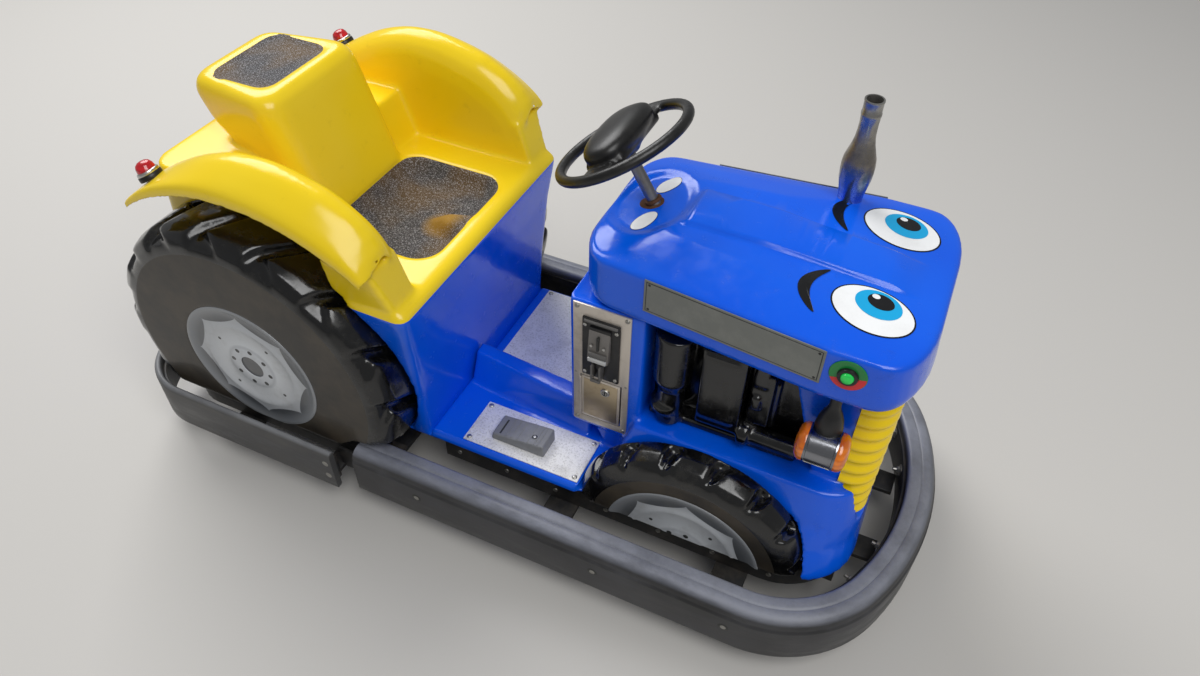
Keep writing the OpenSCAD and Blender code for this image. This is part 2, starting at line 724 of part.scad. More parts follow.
module bonnet() {
    color(blue) difference() {
        bonnet_solid(0);
        bonnet_solid(wall);
        // Foot of the exhaust
        translate([exhaust_x, exhaust_y, bonnet_z1 - 40]) cylinder(r = 15.3, h = 80);
        translate([exhaust_x, exhaust_y, bonnet_z1 - 1]) cylinder(r = 20.3, h = 40);
        // The floor is open over the pedestal and the nose column
        translate([pedestal_x0 + 30, -80, bonnet_z0 - 1]) cube([430, 160, wall + 3]);
        // Slot of the steering column
        translate([column_x, 0, column_z]) rotate([0, -column_lean, 0])
            cylinder(d = shaft_d + 12, h = 160, center = true);
    }
}

module grille() {
    x1 = plinth_x1 - 8;
    z0 = grille_z0;
    h = bonnet_z0 - z0 - 1;
    pitch = h / grille_ribs;
    color(yellow) translate([0, 0, z0]) difference() {
        for (i = [0:grille_ribs - 1]) translate([0, 0, i * pitch]) {
            linear_extrude(pitch - 7) polygon(plan(x1 - 60, x1, 142, 1, 56));
            translate([0, 0, pitch - 7.5]) linear_extrude(8)
                polygon(plan(x1 - 60, x1 - 5, 138, 1, 54));
        }
        translate([0, 0, -1]) linear_extrude(h + 2)
            polygon(plan(x1 - 61, x1 - 9, 136, 1, 52));
    }
}

// Black relief that looks like an engine: backing wall, filter, blocks, pipe
module engine_side() {
    y0 = core_y + 0.3;
    x0 = recess_x0 + 2;
    z0 = ledge_z + 0.3;
    h = bonnet_z0 - ledge_z - 2;
    color(black) {
        rotate([90, 0, 0]) translate([0, 0, -y0 - 6]) linear_extrude(6)
            polygon([[x0, z0], [x0 + 298, z0], [x0 + 226, z0 + h], [x0, z0 + h]]);
        // Air filter with its bowl
        translate([x0 + 42, y0 + 36, z0 + h - 128]) cylinder(r = 34, h = 104);
        translate([x0 + 42, y0 + 36, z0 + h - 158]) cylinder(r1 = 22, r2 = 34, h = 31, $fn = 48);
        translate([x0 + 42, y0 + 36, z0 + 6]) cylinder(r = 24, h = h - 158);
        // Engine block and side cover
        bar(x0 + 92, x0 + 168, y0, y0 + 52, z0 + 34, z0 + h - 30);
        bar(x0 + 176, x0 + 214, y0, y0 + 38, z0 + 60, z0 + h - 60);
        // Exhaust pipe along the bottom
        translate([x0 + 176, y0 + 34, z0 + 31]) rotate([0, 90, 0])
            cylinder(r = 17, h = 96);
        bar(x0 + 4, x0 + 272, y0, y0 + 40, z0, z0 + 16);
    }
}

module engine_right() { mirror([0, 1, 0]) engine_side(); }
module engine_left() { engine_side(); }

// Mock tyre: carcass by a revolved profile, and slanted tread blocks round it.
// gap: groove between blocks; phase: where the blocks start; slant: of the grooves
module mock_tyre(r, w, rib_h, blocks, gap, phase, slant, cut_z, facets) {
    c = r - rib_h;
    block = 2 * PI * c / blocks * cos(slant) - gap;
    difference() {
        intersection() {
            union() {
                rotate([-90, 0, 0]) rotate_extrude($fn = facets)
                    polygon([[face_r - 5.7, w], [c - 22, w], [c - 7, w - 7], [c, w - 26],
                        [c, 5], [r - 1, 5], [r - 1, 0], [c - 60, 0],
                        [c - 60, w - 12], [face_r - 5.7, w - 12]]);
                for (i = [0:blocks - 1]) rotate([0, 360 * i / blocks + phase, 0])
                    translate([0, w / 2 - 2, c - 8]) rotate([0, 0, slant])
                    rotate([90, 0, 0]) linear_extrude(w * 1.1, center = true)
                    polygon([[-block / 2 - 5, -6], [-block / 2, 8], [-block / 2 + 7, rib_h + 12],
                        [block / 2 - 7, rib_h + 12], [block / 2, 8], [block / 2 + 5, -6]]);
            }
            translate([0, -1, 0]) rotate([-90, 0, 0]) rotate_extrude($fn = facets)
                polygon([[0, 0], [r, 1], [r, w - 36], [r - 9, w - 12],
                    [r - 32, w + 1], [0, w + 1]]);
        }
        translate([-2 * r, -10, -3 * r]) cube([4 * r, w + 40, 3 * r + cut_z]);
    }
}

module rear_tyre() {
    color(black) translate([rear_x, tyre_back_y, rear_z])
        difference() {
            mock_tyre(rear_r, tyre_w, 18, 15, 16, 9, 32, rear_cut_z - rear_z, 60);
            // Cut away over the end of the front bumper
            translate([0, band_y - 7 - tyre_back_y, -rear_z]) rotate([90, 0, 0])
                mirror([0, 0, 1]) linear_extrude(100)
                polygon([[170, rear_cut_z - 1], [bumper_x0 - rear_x - 3, bumper_z1 + 10],
                    [400, bumper_z1 + 34], [400, 0], [170, 0]]);
        }
}

module front_tyre() {
    w = 60;
    color(black) translate([front_x, front_face_y - w, front_z])
        mock_tyre(front_r, w, 14, 16, 14, 21, 14, body_z0 - front_z, 44);
}

module rear_tyre_right() { mirror([0, 1, 0]) rear_tyre(); }
module rear_tyre_left() { rear_tyre(); }
module front_tyre_right() { mirror([0, 1, 0]) front_tyre(); }
module front_tyre_left() { front_tyre(); }

module wheel_faces() {
    // Columns: place along the car, height of centre, outer face, lower cut
    wheels = [[rear_x, rear_z, rear_face_y, rear_cut_z],
        [front_x, front_z, front_face_y, body_z0]];
    color("#c9ccd0") both_sides() for (w = wheels) difference() {
        translate([w[0], w[2] - 12, w[1]]) rotate([-90, 0, 0]) rotate_extrude($fn = 96)
            polygon([[0, 0], [face_r - 6, 0], [face_r - 6, 12], [face_r, 12],
                [face_r, 13], [face_r - 8, 14], [face_r - 20, 9], [face_r - 40, 9],
                [face_r - 48, 12], [44, 12], [38, 10], [0, 10]]);
        translate([w[0] - 300, w[2] - 40, -400]) cube([600, 80, w[3] + 400]);
    }
}

module footplates() {
    // Columns: side, rear end, front end, inner edge, outer edge
    plates = [[-1, -70, 176, 124, 229], [1, -116, 150, -8, 229]];
    color("#d4d6d8") for (p = plates) translate([0, 0, foot_z])
        bar(p[1], p[2], min(p[0] * p[3], p[0] * p[4]), max(p[0] * p[3], p[0] * p[4]), 0, 2.5);
}

module pedal() {
    color("#4a4b4d") translate([10, -180, foot_z + 2.5]) rotate([90, 0, 0])
        translate([0, 0, -26]) linear_extrude(52)
        polygon([[-30, 0], [78, 0], [84, 10], [84, 22], [70, 30], [-24, 13], [-30, 8]]);
}

panel_x = pedestal_x0 + 58;
panel_z = 414;

// Cash door in the panel's lower opening, hinged on a pin along its rear edge
panel_t = 3;
door_w = 74;
door_h = 104;
door_z0 = panel_z - panel_h / 2 + 16;
hinge_d = 6;
hinge_pin_d = 3;
hinge_x = panel_x - door_w / 2 - 1.5;
hinge_y = -pedestal_y - 0.3 - panel_t;
knuckle = 12;

module coin_panel() {
    y = pedestal_y;
    color("#a9a49b") {
        difference() {
            translate([panel_x - panel_w / 2, -y - 0.3 - panel_t, panel_z - panel_h / 2])
                cube([panel_w, panel_t, panel_h]);
            translate([panel_x - 30, -y - 10, panel_z - 10]) cube([60, 20, 120]);
            translate([panel_x - door_w / 2 - 3, -y - 10, door_z0 - 2])
                cube([door_w + 6, 20, door_h + 4]);
            translate([hinge_x, hinge_y, door_z0 + knuckle + 1.9])
                cylinder(d = hinge_d + 0.8, h = door_h - 2 * knuckle - 3.8);
        }
        for (z = [0, door_h - knuckle - 4])
            translate([hinge_x, hinge_y, door_z0 + 2 + z]) cylinder(d = hinge_d, h = knuckle);
        translate([hinge_x, hinge_y, door_z0 + 2]) cylinder(d = hinge_pin_d, h = door_h - 4);
    }
}

module coin_acceptor() {
    y = pedestal_y + 3.3;
    color("#1e1f22") difference() {
        union() {
            translate([panel_x - 34, -y - 4, panel_z - 14]) cube([68, 4, 134]);
            translate([panel_x - 27, -y - 1, panel_z - 8]) cube([54, 40, 116]);
            translate([panel_x - 19, -y - 18, panel_z + 44]) cube([38, 15, 58]);
            translate([panel_x - 8, -y - 22, panel_z + 8]) cube([16, 19, 22]);
        }
        translate([panel_x - 2, -y - 20, panel_z + 64]) cube([4, 14, 30]);
    }
}

module cash_door() {
    color("#b9b2a4") difference() {
        union() {
            translate([panel_x - door_w / 2, hinge_y, door_z0])
                cube([door_w, panel_t - 0.5, door_h]);
            translate([panel_x + 10, hinge_y - 5, door_z0 + 80]) rotate([-90, 0, 0])
                cylinder(d = 17, h = 6);
            translate([hinge_x, hinge_y, door_z0 + knuckle + 2.3])
                cylinder(d = hinge_d, h = door_h - 2 * knuckle - 4.6);
        }
        for (z = [-1, door_h - knuckle - 2.3]) translate([hinge_x, hinge_y, door_z0 + z])
            cylinder(d = hinge_d + 0.8, h = knuckle + 3.3);
        translate([hinge_x, hinge_y, door_z0 - 1])
            cylinder(d = hinge_pin_d + 2 * fit, h = door_h + 2);
    }
}

module name_plates() {
    x0 = 262;
    slant = atan2(45, 410);
    color("#7d7f78") both_sides()
        translate([x0, bonnet_w(x0) + 0.3, bonnet_z0 + 66])
        rotate([0, 0, slant]) translate([0, 0, -plate_h / 2])
        cube([plate_w, 2, plate_h]);
}

module charge_lamp() {
    color("#2b7a3a") translate([584, -200.3, 626]) rotate([90, 0, 0]) {
        cylinder(r = 27, h = 1.5);
        cylinder(r = 13, h = 8);
        translate([0, 0, 6]) cylinder(r1 = 10, r2 = 6, h = 5);
    }
}

module tail_lamp_place() {
    a = 117.5;
    translate([guard_cx, 273, guard_cz]) rotate([0, 90 - a, 0])
        translate([0, 0, guard_at(a) + 2.8]) children();
}

module tail_lamps() {
    color("#c1121f") both_sides() tail_lamp_place() {
        translate([0, 0, -14]) cylinder(r = 8.7, h = 16);
        cylinder(r = 21, h = 11);
        translate([0, 0, 11]) cylinder(r1 = 17, r2 = 15, h = 10);
        translate([0, 0, 21]) cylinder(r1 = 15, r2 = 6, h = 8);
    }
}

module side_lamps() {
    r = side_lamp_d / 2;
    color("#d9741a") both_sides() translate([578, 184, 446]) {
        rotate([0, 90, 0]) cylinder(r = r - 2, h = 50, center = true);
        for (s = [-1, 1]) scale([1, 1, 1]) translate([s * 25, 0, 0]) rotate([0, s * 90, 0]) {
            cylinder(r = r, h = 6);
            translate([0, 0, 6]) cylinder(r1 = r, r2 = r * 0.55, h = 11);
        }
        translate([0, -4, r - 8]) cylinder(r1 = 22, r2 = 28, h = bonnet_z0 - 446 - r + 7.7);
    }
}

exhaust_x = 492;
exhaust_y = 152;
module exhaust() {
    // Columns: height above the foot, radius
    rows = [[0, 15], [13, 15], [13, 20], [30, 21], [62, 27], [90, 27], [118, 20], [142, 15], [200, 15]];
    color("#7c7f80") translate([exhaust_x, exhaust_y, bonnet_z1 - 14]) difference() {
        rotate_extrude() polygon(concat([[0, 0]], [for (r = rows) [r[1], r[0]]], [[0, 200]]));
        translate([0, 0, 170]) cylinder(r = 12, h = 60);
    }
}

module on_column() {
    translate([column_x, 0, column_z]) rotate([0, -column_lean, 0]) children();
}

module column_tube() {
    color(steel) on_column() difference() {
        union() {
            translate([0, 0, -200]) cylinder(d = shaft_d + 14, h = 70);
            translate([-15, -core_y + wall, -180]) cube([30, 2 * (core_y - wall), 10]);
        }
        translate([0, 0, -210]) cylinder(d = shaft_d + 2 * fit, h = 100);
    }
}

module steering_wheel() {
    color(black) on_column() {
        translate([0, 0, 24 - shaft_down]) cylinder(d = shaft_d, h = hub_s + shaft_down - 24);
        difference() {
            translate([0, 0, 2 - shaft_down]) cylinder(d = 2 * ball_r + 8, h = 54);
            translate([0, 0, -shaft_down]) sphere(r = ball_r + 0.4);
        }
        translate([0, 0, hub_s - 20]) cylinder(r1 = 18, r2 = 40, h = 22);
        translate([0, 0, hub_s]) rotate_extrude($fn = 96) translate([steer_r - rim_t / 2, 0])
            circle(d = rim_t, $fn = 32);
        translate([0, 0, hub_s - 6]) intersection() {
            cylinder(r = steer_r - rim_t / 2, h = 9);
            translate([-30, -steer_r, 0]) cube([60, 2 * steer_r, 9]);
        }
        translate([0, 0, hub_s]) hull() for (y = [-44, 44]) translate([0, y, 0]) {
            cylinder(r = 42, h = 12, $fn = 32);
            translate([0, 0, 30]) cylinder(r = 30, h = 8, $fn = 32);
        }
    }
}

module steering_fork() {
    z1 = drive_d + wheel_gap;
    arm_y = drive_w / 2 + wheel_gap;
    color(steel) difference() {
        union() {
            translate([fork_x, 0, z1]) {
                both_sides() bar(-24, 24, arm_y, arm_y + 8, drive_d / 2 - 24 - z1, 10);
                bar(-24, 24, -arm_y - 8, arm_y + 8, 0, 10);
                cylinder(d = spindle_d, h = fork_joint_z - 20 - z1);
                translate([0, 0, fork_joint_z - 32 - z1]) cylinder(d = spindle_d + 6, h = 12);
                translate([0, 0, fork_joint_z - z1]) sphere(r = ball_r);
                cylinder(d = 16, h = fork_joint_z - z1);
            }
        }
        translate([fork_x, 0, drive_d / 2]) rotate([90, 0, 0])
            cylinder(d = axle_d, h = 4 * arm_y, center = true);
    }
}

module drive_wheel() {
    r = drive_d / 2;
    h = drive_w / 2;
    color("#3a3a3c") translate([fork_x, 0, r]) rotate([90, 0, 0]) {
        rotate_extrude($fn = 96) polygon([[0, -h + 8], [60, -h + 8], [70, -h], [r - 6, -h],
            [r, -h + 6], [r, h - 6], [r - 6, h], [70, h], [60, h - 8], [0, h - 8]]);
        cylinder(d = axle_d - 2 * fit, h = 2 * (h + wheel_gap + 8), center = true);
        cylinder(d = 36, h = 2 * (h + 4), center = true);
    }
}

module rear_axle() {
    color(steel) translate([axle_x, 0, axle_z]) rotate([90, 0, 0])
        cylinder(d = axle_d, h = 2 * (rail_y + 16), center = true);
}

module roller() {
    r = roller_d / 2;
    h = roller_w / 2;
    color("#3a3a3c") translate([axle_x, roller_y, axle_z]) rotate([90, 0, 0])
        rotate_extrude($fn = 96) polygon([[axle_d / 2 + fit, -h], [26, -h], [30, -h + 7],
            [62, -h + 7], [68, -h], [r - 5, -h], [r, -h + 5], [r, h - 5], [r - 5, h],
            [68, h], [62, h - 7], [30, h - 7], [26, h], [axle_d / 2 + fit, h]]);
}

module rear_wheel_right() { mirror([0, 1, 0]) roller(); }
module rear_wheel_left() { roller(); }

frame_rails();
cross_tubes();
outriggers();
body_posts();
steering_bridge();
front_bumper();
bumper_band();
rear_bumper();
rear_band();
batteries();
rear_body();
seat_shell();
seat_mat();
back_mat();
foot_tub();
front_plinth();
pedestal();
nose_column();
bonnet();
grille();
engine_right();
engine_left();
rear_tyre_right();
rear_tyre_left();
front_tyre_right();
front_tyre_left();
wheel_faces();
footplates();
pedal();
coin_panel();
coin_acceptor();
cash_door();
name_plates();
charge_lamp();
tail_lamps();
side_lamps();
exhaust();
column_tube();
steering_wheel();
steering_fork();
drive_wheel();
rear_axle();
rear_wheel_right();
rear_wheel_left();
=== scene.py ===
import bpy
import bmesh
import math
from mathutils import Matrix, Vector
from mathutils.bvhtree import BVHTree


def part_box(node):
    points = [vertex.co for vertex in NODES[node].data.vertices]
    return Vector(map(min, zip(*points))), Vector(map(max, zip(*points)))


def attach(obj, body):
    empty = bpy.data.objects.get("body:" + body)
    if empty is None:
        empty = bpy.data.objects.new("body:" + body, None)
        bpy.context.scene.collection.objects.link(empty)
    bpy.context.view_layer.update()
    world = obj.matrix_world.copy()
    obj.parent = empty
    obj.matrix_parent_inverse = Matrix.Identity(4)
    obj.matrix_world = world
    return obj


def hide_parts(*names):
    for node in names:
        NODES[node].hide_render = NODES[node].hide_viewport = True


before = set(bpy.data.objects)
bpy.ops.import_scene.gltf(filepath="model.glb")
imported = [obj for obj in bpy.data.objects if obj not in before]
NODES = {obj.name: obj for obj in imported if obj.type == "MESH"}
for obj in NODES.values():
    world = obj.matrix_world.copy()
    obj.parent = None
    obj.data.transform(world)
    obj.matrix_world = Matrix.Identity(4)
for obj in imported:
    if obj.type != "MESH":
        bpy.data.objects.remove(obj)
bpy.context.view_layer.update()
MM = 0.001

# Places on the car are in mm: X forward, Y to the driver's left, Z up from the floor
BOX = {node: [[c / MM for c in Vector(corner)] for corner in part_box(node)] for node in NODES}
SIDES = (-1, 1)
RIGHT, UP, FORWARD = (0, -1, 0), (0, 0, 1), (1, 0, 0)

# Middles of the mock wheels (x, z), and how far out their printed faces stand
REAR_WHEEL, REAR_FACE = (-460, 290), 335
FRONT_WHEEL, FRONT_FACE = (393, 119), 248

# Where yellow changes to blue, and the dish in the seat: ends, half width and lowest flocked place
PAINT_LINE = 498
DISH_X0, DISH_X1, DISH_HALF, DISH_Z0 = -398, -146, 152, 455

# Steering column: a place on its axis, how far it leans back, and the wheel's plane along it
COLUMN = Vector((208, 0, 669))
LEAN = math.radians(31.5)
ALONG = Vector((-math.sin(LEAN), 0, math.cos(LEAN)))
WHEEL_AT = 114

# Bonnet: half its width behind, where its sides start to spread, over what length and how far
BONNET_HALF, SPREAD_X, SPREAD_RUN, SPREAD = 155, 140, 410, 45

# Rear end and middle height of the plates on the bonnet's sides
PLATE_X, PLATE_Z = 262, 626

# Front of the coin box's panel
PANEL_FACE = -161.3

# Pedal: heights of its top at the heel and the toe, and the run between them
HEEL, TOE, HEEL_X, PEDAL_RUN = 188, 200.5, -17, 110


# Helpers

def srgb(code):
    """Colour written as sRGB hex, as the linear values that shaders take."""
    values = [int(code[i:i + 2], 16) / 255 for i in (1, 3, 5)]
    return tuple(v / 12.92 if v <= 0.04045 else ((v + 0.055) / 1.055) ** 2.4
                 for v in values) + (1.0,)


def put(tree, kind, sockets=None, **settings):
    """Adds a shader node with its settings; a socket takes a value or another node's output."""
    n = tree.nodes.new("ShaderNode" + kind)
    for key, value in settings.items():
        setattr(n, key, value)
    for key, value in (sockets or {}).items():
        if isinstance(value, bpy.types.NodeSocket):
            tree.links.new(value, n.inputs[key])
        else:
            n.inputs[key].default_value = value
    return n


def start(name, **shader):
    """A material with its shader set, and the object's own coordinates in metres."""
    mat = bpy.data.materials.new(name)
    mat.use_nodes = True
    tree = mat.node_tree
    for key, value in shader.items():
        tree.nodes["Principled BSDF"].inputs[key.replace("_", " ")].default_value = value
    return mat, tree, put(tree, "TexCoord").outputs["Object"]


def patches(tree, place, scale, detail, rough, *wears):
    """Wear in patches, scale of them to a metre: a noise's level, then how much of each wear shows.
    A wear is (level where it starts, level where it is full, least, most)."""
    noise = put(tree, "TexNoise", {"Vector": place, "Scale": scale, "Detail": detail, "Roughness": rough})
    level = noise.outputs["Fac"]
    return [level] + [put(tree, "MapRange", {"Value": level, "From Min": low, "From Max": high,
                                             "To Min": least, "To Max": most}).outputs[0]
                      for low, high, least, most in wears]


def coated(tree, base, *coats):
    """A base colour under coats of (how much of it shows, colour); a colour is hex or an output."""
    for share, colour in coats:
        base, colour = (srgb(c) if isinstance(c, str) else c for c in (base, colour))
        base = put(tree, "Mix", {0: share, 6: base, 7: colour}, data_type="RGBA").outputs[2]
    return base


def finished(mat, colour, dull=None, relief=None):
    """Links a material's colour and dullness, and its relief of (height, strength, depth in mm)."""
    tree = mat.node_tree
    shader = tree.nodes["Principled BSDF"].inputs
    tree.links.new(colour, shader["Base Color"])
    if dull is not None:
        tree.links.new(dull, shader["Roughness"])
    if relief is not None:
        height, strength, depth = relief
        bump = put(tree, "Bump", {"Height": height, "Strength": strength, "Distance": depth * MM})
        tree.links.new(bump.outputs[0], shader["Normal"])
    return mat


# Camera at the photograph's place, fitted to the car's own straight lines and circles

YAW, PITCH, ROLL = (math.radians(v) for v in (23.972, 44.720, 1.226))
PHOTO_WIDTH, FOCAL_PIXELS, SENSOR = 1200, 885.35, 36
back = Vector((math.sin(YAW) * math.cos(PITCH), -math.cos(YAW) * math.cos(PITCH), math.sin(PITCH)))
right = Vector((math.cos(YAW), math.sin(YAW), 0))
up = back.cross(right)
turned_right = math.cos(ROLL) * right + math.sin(ROLL) * up
turned_up = -math.sin(ROLL) * right + math.cos(ROLL) * up
camera = bpy.data.objects.new("camera", bpy.data.cameras.new("camera"))
camera.data.lens = SENSOR * FOCAL_PIXELS / PHOTO_WIDTH
camera.data.sensor_width = SENSOR
camera.matrix_world = Matrix.Translation((0.6103, -1.1131, 1.5257)) @ Matrix(
    (turned_right, turned_up, back)).transposed().to_4x4()
bpy.context.scene.collection.objects.link(camera)
bpy.context.scene.camera = camera


# Materials

def gelcoat(name, colour, faded, grime, grime_amount):
    """Polyester gelcoat, sprayed in a polished mould: even gloss, faint waviness, dull smears."""
    mat, tree, place = start(name, IOR=1.48, Coat_Weight=0.12, Coat_Roughness=0.06)
    # Fading in patches about 250 mm across
    _, fading = patches(tree, place, 4, 3, 0.5, (0.35, 0.75, 0, 0.5))
    # Grime settles in smears about 30 mm across, streaked by small specks
    _, smear, dull = patches(tree, place, 34, 6, 0.7, (0.58, 0.8, 0, grime_amount),
                             (0.42, 0.75, 0.13, 0.36))
    # The mould's faint waviness, 60 mm from crest to crest
    wave, = patches(tree, place, 16, 1, 0.5)
    return finished(mat, coated(tree, colour, (fading, faded), (smear, grime)), dull, (wave, 0.3, 1.0))


def flocked_gelcoat(name, colour, faded, grime, recesses, worn_place):
    """Gelcoat with black flock in recesses, worn brown at one place.
    A recess is (rear end, front end, half width, bottom, top, corner radius)."""
    mat, tree, place = start(name, IOR=1.48)
    _, fading = patches(tree, place, 4, 3, 0.5, (0.35, 0.75, 0, 0.6))
    _, smear = patches(tree, place, 30, 6, 0.7, (0.6, 0.82, 0, 0.25))
    paint = coated(tree, colour, (fading, faded), (smear, grime))
    height = put(tree, "SeparateXYZ", {0: place}).outputs["Z"]
    inside = 0.0
    for x0, x1, half_y, z0, z1, r in recesses:
        off = place
        for operation, by in (("SUBTRACT", ((x0 + x1) / 2 * MM, 0, 0)), ("ABSOLUTE", (0, 0, 0)),
                              ("SUBTRACT", (((x1 - x0) / 2 - r) * MM, (half_y - r) * MM, 10)),
                              ("MAXIMUM", (0, 0, 0))):
            off = put(tree, "VectorMath", {0: off, 1: by}, operation=operation).outputs[0]
        far = put(tree, "VectorMath", {0: off}, operation="LENGTH").outputs["Value"]
        here = put(tree, "Math", {0: far, 1: r * MM}, operation="LESS_THAN").outputs[0]
        for operation, level in (("GREATER_THAN", z0), ("LESS_THAN", z1)):
            kept = put(tree, "Math", {0: height, 1: level * MM}, operation=operation).outputs[0]
            here = put(tree, "Math", {0: here, 1: kept}, operation="MULTIPLY").outputs[0]
        inside = put(tree, "Math", {0: inside, 1: here}, operation="MAXIMUM").outputs[0]
    # Flock: fibre tufts, drawn 2 mm apart, with pale specks on their tips
    grit, speck = patches(tree, place, 430, 3, 0.7, (0.51, 0.64, 0, 0.78))
    _, brown = patches(tree, place, 9, 2, 0.5, (0.4, 0.58, 0, 0.85))
    off = put(tree, "VectorMath", {0: place, 1: [v * MM for v in worn_place]}, operation="DISTANCE")
    worn = put(tree, "MapRange", {"Value": off.outputs["Value"], "From Min": 0.028, "From Max": 0.055,
                                  "To Min": 0.85, "To Max": 0.0}).outputs[0]
    flock = coated(tree, "#3b393a", (brown, "#5e4724"), (speck, "#b0afb3"), (worn, "#a87f22"))
    dull = put(tree, "MapRange", {"Value": inside, "To Min": 0.21, "To Max": 0.8}).outputs[0]
    tuft = put(tree, "Math", {0: grit, 1: inside}, operation="MULTIPLY").outputs[0]
    return finished(mat, coated(tree, paint, (inside, flock)), dull, (tuft, 0.6, 1.4))


def gloss_black(name, centre=None, radius=0, plane=0):
    """Black two-pack paint over glass fibre. A tyre has a printed side face, dulled by dry dirt:
    it lies round the wheel's centre out to the radius, beyond the plane's distance from the middle."""
    mat, tree, place = start(name, IOR=1.5, Coat_Weight=0.3, Coat_Roughness=0.08)
    _, dust, dull = patches(tree, place, 26, 7, 0.72, (0.52, 0.8, 0, 0.3), (0.42, 0.72, 0.13, 0.4))
    colour = coated(tree, "#0a0a0b", (dust, "#4a4740"))
    if centre:
        x, z = centre
        flat = put(tree, "VectorMath", {0: place, 1: (x * MM, 0, z * MM)}, operation="SUBTRACT").outputs[0]
        side = put(tree, "SeparateXYZ", {0: flat}).outputs["Y"]
        side = put(tree, "Math", {0: side}, operation="ABSOLUTE").outputs[0]
        outer = put(tree, "Math", {0: side, 1: plane * MM}, operation="GREATER_THAN").outputs[0]
        flat = put(tree, "VectorMath", {0: flat, 1: (1, 0, 1)}, operation="MULTIPLY").outputs[0]
        far = put(tree, "VectorMath", {0: flat}, operation="LENGTH").outputs["Value"]
        within = put(tree, "MapRange", {"Value": far, "From Min": (radius - 2) * MM,
                                        "From Max": radius * MM, "To Min": 1.0, "To Max": 0.0}).outputs[0]
        face = put(tree, "Math", {0: within, 1: outer}, operation="MULTIPLY").outputs[0]
        _, cloud = patches(tree, place, 11, 5, 0.62, (0.38, 0.62, 0, 1))
        colour = coated(tree, colour, (face, coated(tree, "#231e17", (cloud, "#3b3327"))))
        dull = put(tree, "Mix", {0: face, 2: dull, 3: 0.6}).outputs[0]
    wave, = patches(tree, place, 30, 2, 0.5)
    return finished(mat, colour, dull, (wave, 0.35, 1.0))


def hole_ring(tree, radius, angle, count, ring, size, turn):
    """1 inside each of the round holes spaced evenly on a ring; sizes in mm, turn in degrees."""
    half = math.pi / count
    swung = put(tree, "Math", {0: angle, 1: math.radians(turn)}, operation="ADD").outputs[0]
    fold = put(tree, "Math", {0: swung, 1: half, 2: -half}, operation="WRAP").outputs[0]
    spot = put(tree, "CombineXYZ")
    for axis, operation in enumerate(("COSINE", "SINE")):
        away = put(tree, "Math", {0: fold}, operation=operation).outputs[0]
        away = put(tree, "Math", {0: away, 1: radius}, operation="MULTIPLY").outputs[0]
        tree.links.new(away, spot.inputs[axis])
    far = put(tree, "VectorMath", {0: spot.outputs[0], 1: (ring, 0, 0)}, operation="DISTANCE")
    return put(tree, "Math", {0: far.outputs["Value"], 1: size}, operation="LESS_THAN").outputs[0]


def shades(tree, value, stops):
    """Colour along a value by stops of (value, hex)."""
    low, high = stops[0][0], stops[-1][0]
    ramp = put(tree, "ValToRGB", {0: put(tree, "MapRange", {
        "Value": value, "From Min": low, "From Max": high}).outputs[0]})
    marks = ramp.color_ramp.elements
    for i, (at, code) in enumerate(stops):
        mark = marks[i] if i < 2 else marks.new(0.5)
        mark.position = (at - low) / (high - low)
        mark.color = srgb(code)
    return ramp.outputs[0]


def rim_print(name, centre):
    """Printed film of a pressed steel wheel: ring, scalloped disc, hub hole and bolt holes in greys."""
    mat, tree, place = start(name, Roughness=0.3, IOR=1.5, Coat_Weight=0.2)
    x, z = centre
    flat = put(tree, "VectorMath", {0: place, 1: (x * MM, 0, z * MM)}, operation="SUBTRACT").outputs[0]
    flat = put(tree, "VectorMath", {0: flat, 1: (1 / MM, 0, 1 / MM)}, operation="MULTIPLY").outputs[0]
    radius = put(tree, "VectorMath", {0: flat}, operation="LENGTH").outputs["Value"]
    axes = put(tree, "SeparateXYZ", {0: flat}).outputs
    angle = put(tree, "Math", {0: axes["Z"], 1: axes["X"]}, operation="ARCTAN2").outputs[0]
    ring = shades(tree, radius, [(100, "#3a3c40"), (122, "#585b5f"), (128, "#7e8185"), (135, "#94979b"),
                                 (138, "#54575b"), (140, "#dcdde0"), (144, "#c9cbcf"), (148, "#8d9094")])
    disc = shades(tree, radius, [(0, "#c6c9cd"), (44, "#c4c7cb"), (50, "#b4b7bb"), (56, "#cccfd2"),
                                 (90, "#c2c5c9"), (95, "#6d7074"), (99, "#8a8d91"), (102, "#e0e2e4"),
                                 (108, "#bfc2c6"), (128, "#a9acb0")])
    # Eight tabs reach the ring, with hollow sides between them
    wave = angle
    for operation, by in (("MULTIPLY", 4.0), ("SINE", 0.0), ("ABSOLUTE", 0.0), ("POWER", 0.55)):
        wave = put(tree, "Math", {0: wave, 1: by}, operation=operation).outputs[0]
    edge = put(tree, "Math", {0: wave, 1: -19.0, 2: 129.0}, operation="MULTIPLY_ADD").outputs[0]
    out = put(tree, "Math", {0: radius, 1: edge}, operation="GREATER_THAN").outputs[0]
    hub = put(tree, "Math", {0: radius, 1: 25.0}, operation="LESS_THAN").outputs[0]
    colour = coated(tree, disc, (out, ring), (hole_ring(tree, radius, angle, 8, 42, 5.0, 10), "#1e2023"),
                    (hole_ring(tree, radius, angle, 4, 80, 3.6, 40), "#1e2023"), (hub, "#505154"))
    _, dirt = patches(tree, place, 24, 6, 0.7, (0.5, 0.8, 0, 0.35))
    return finished(mat, coated(tree, colour, (dirt, "#7b776f")))


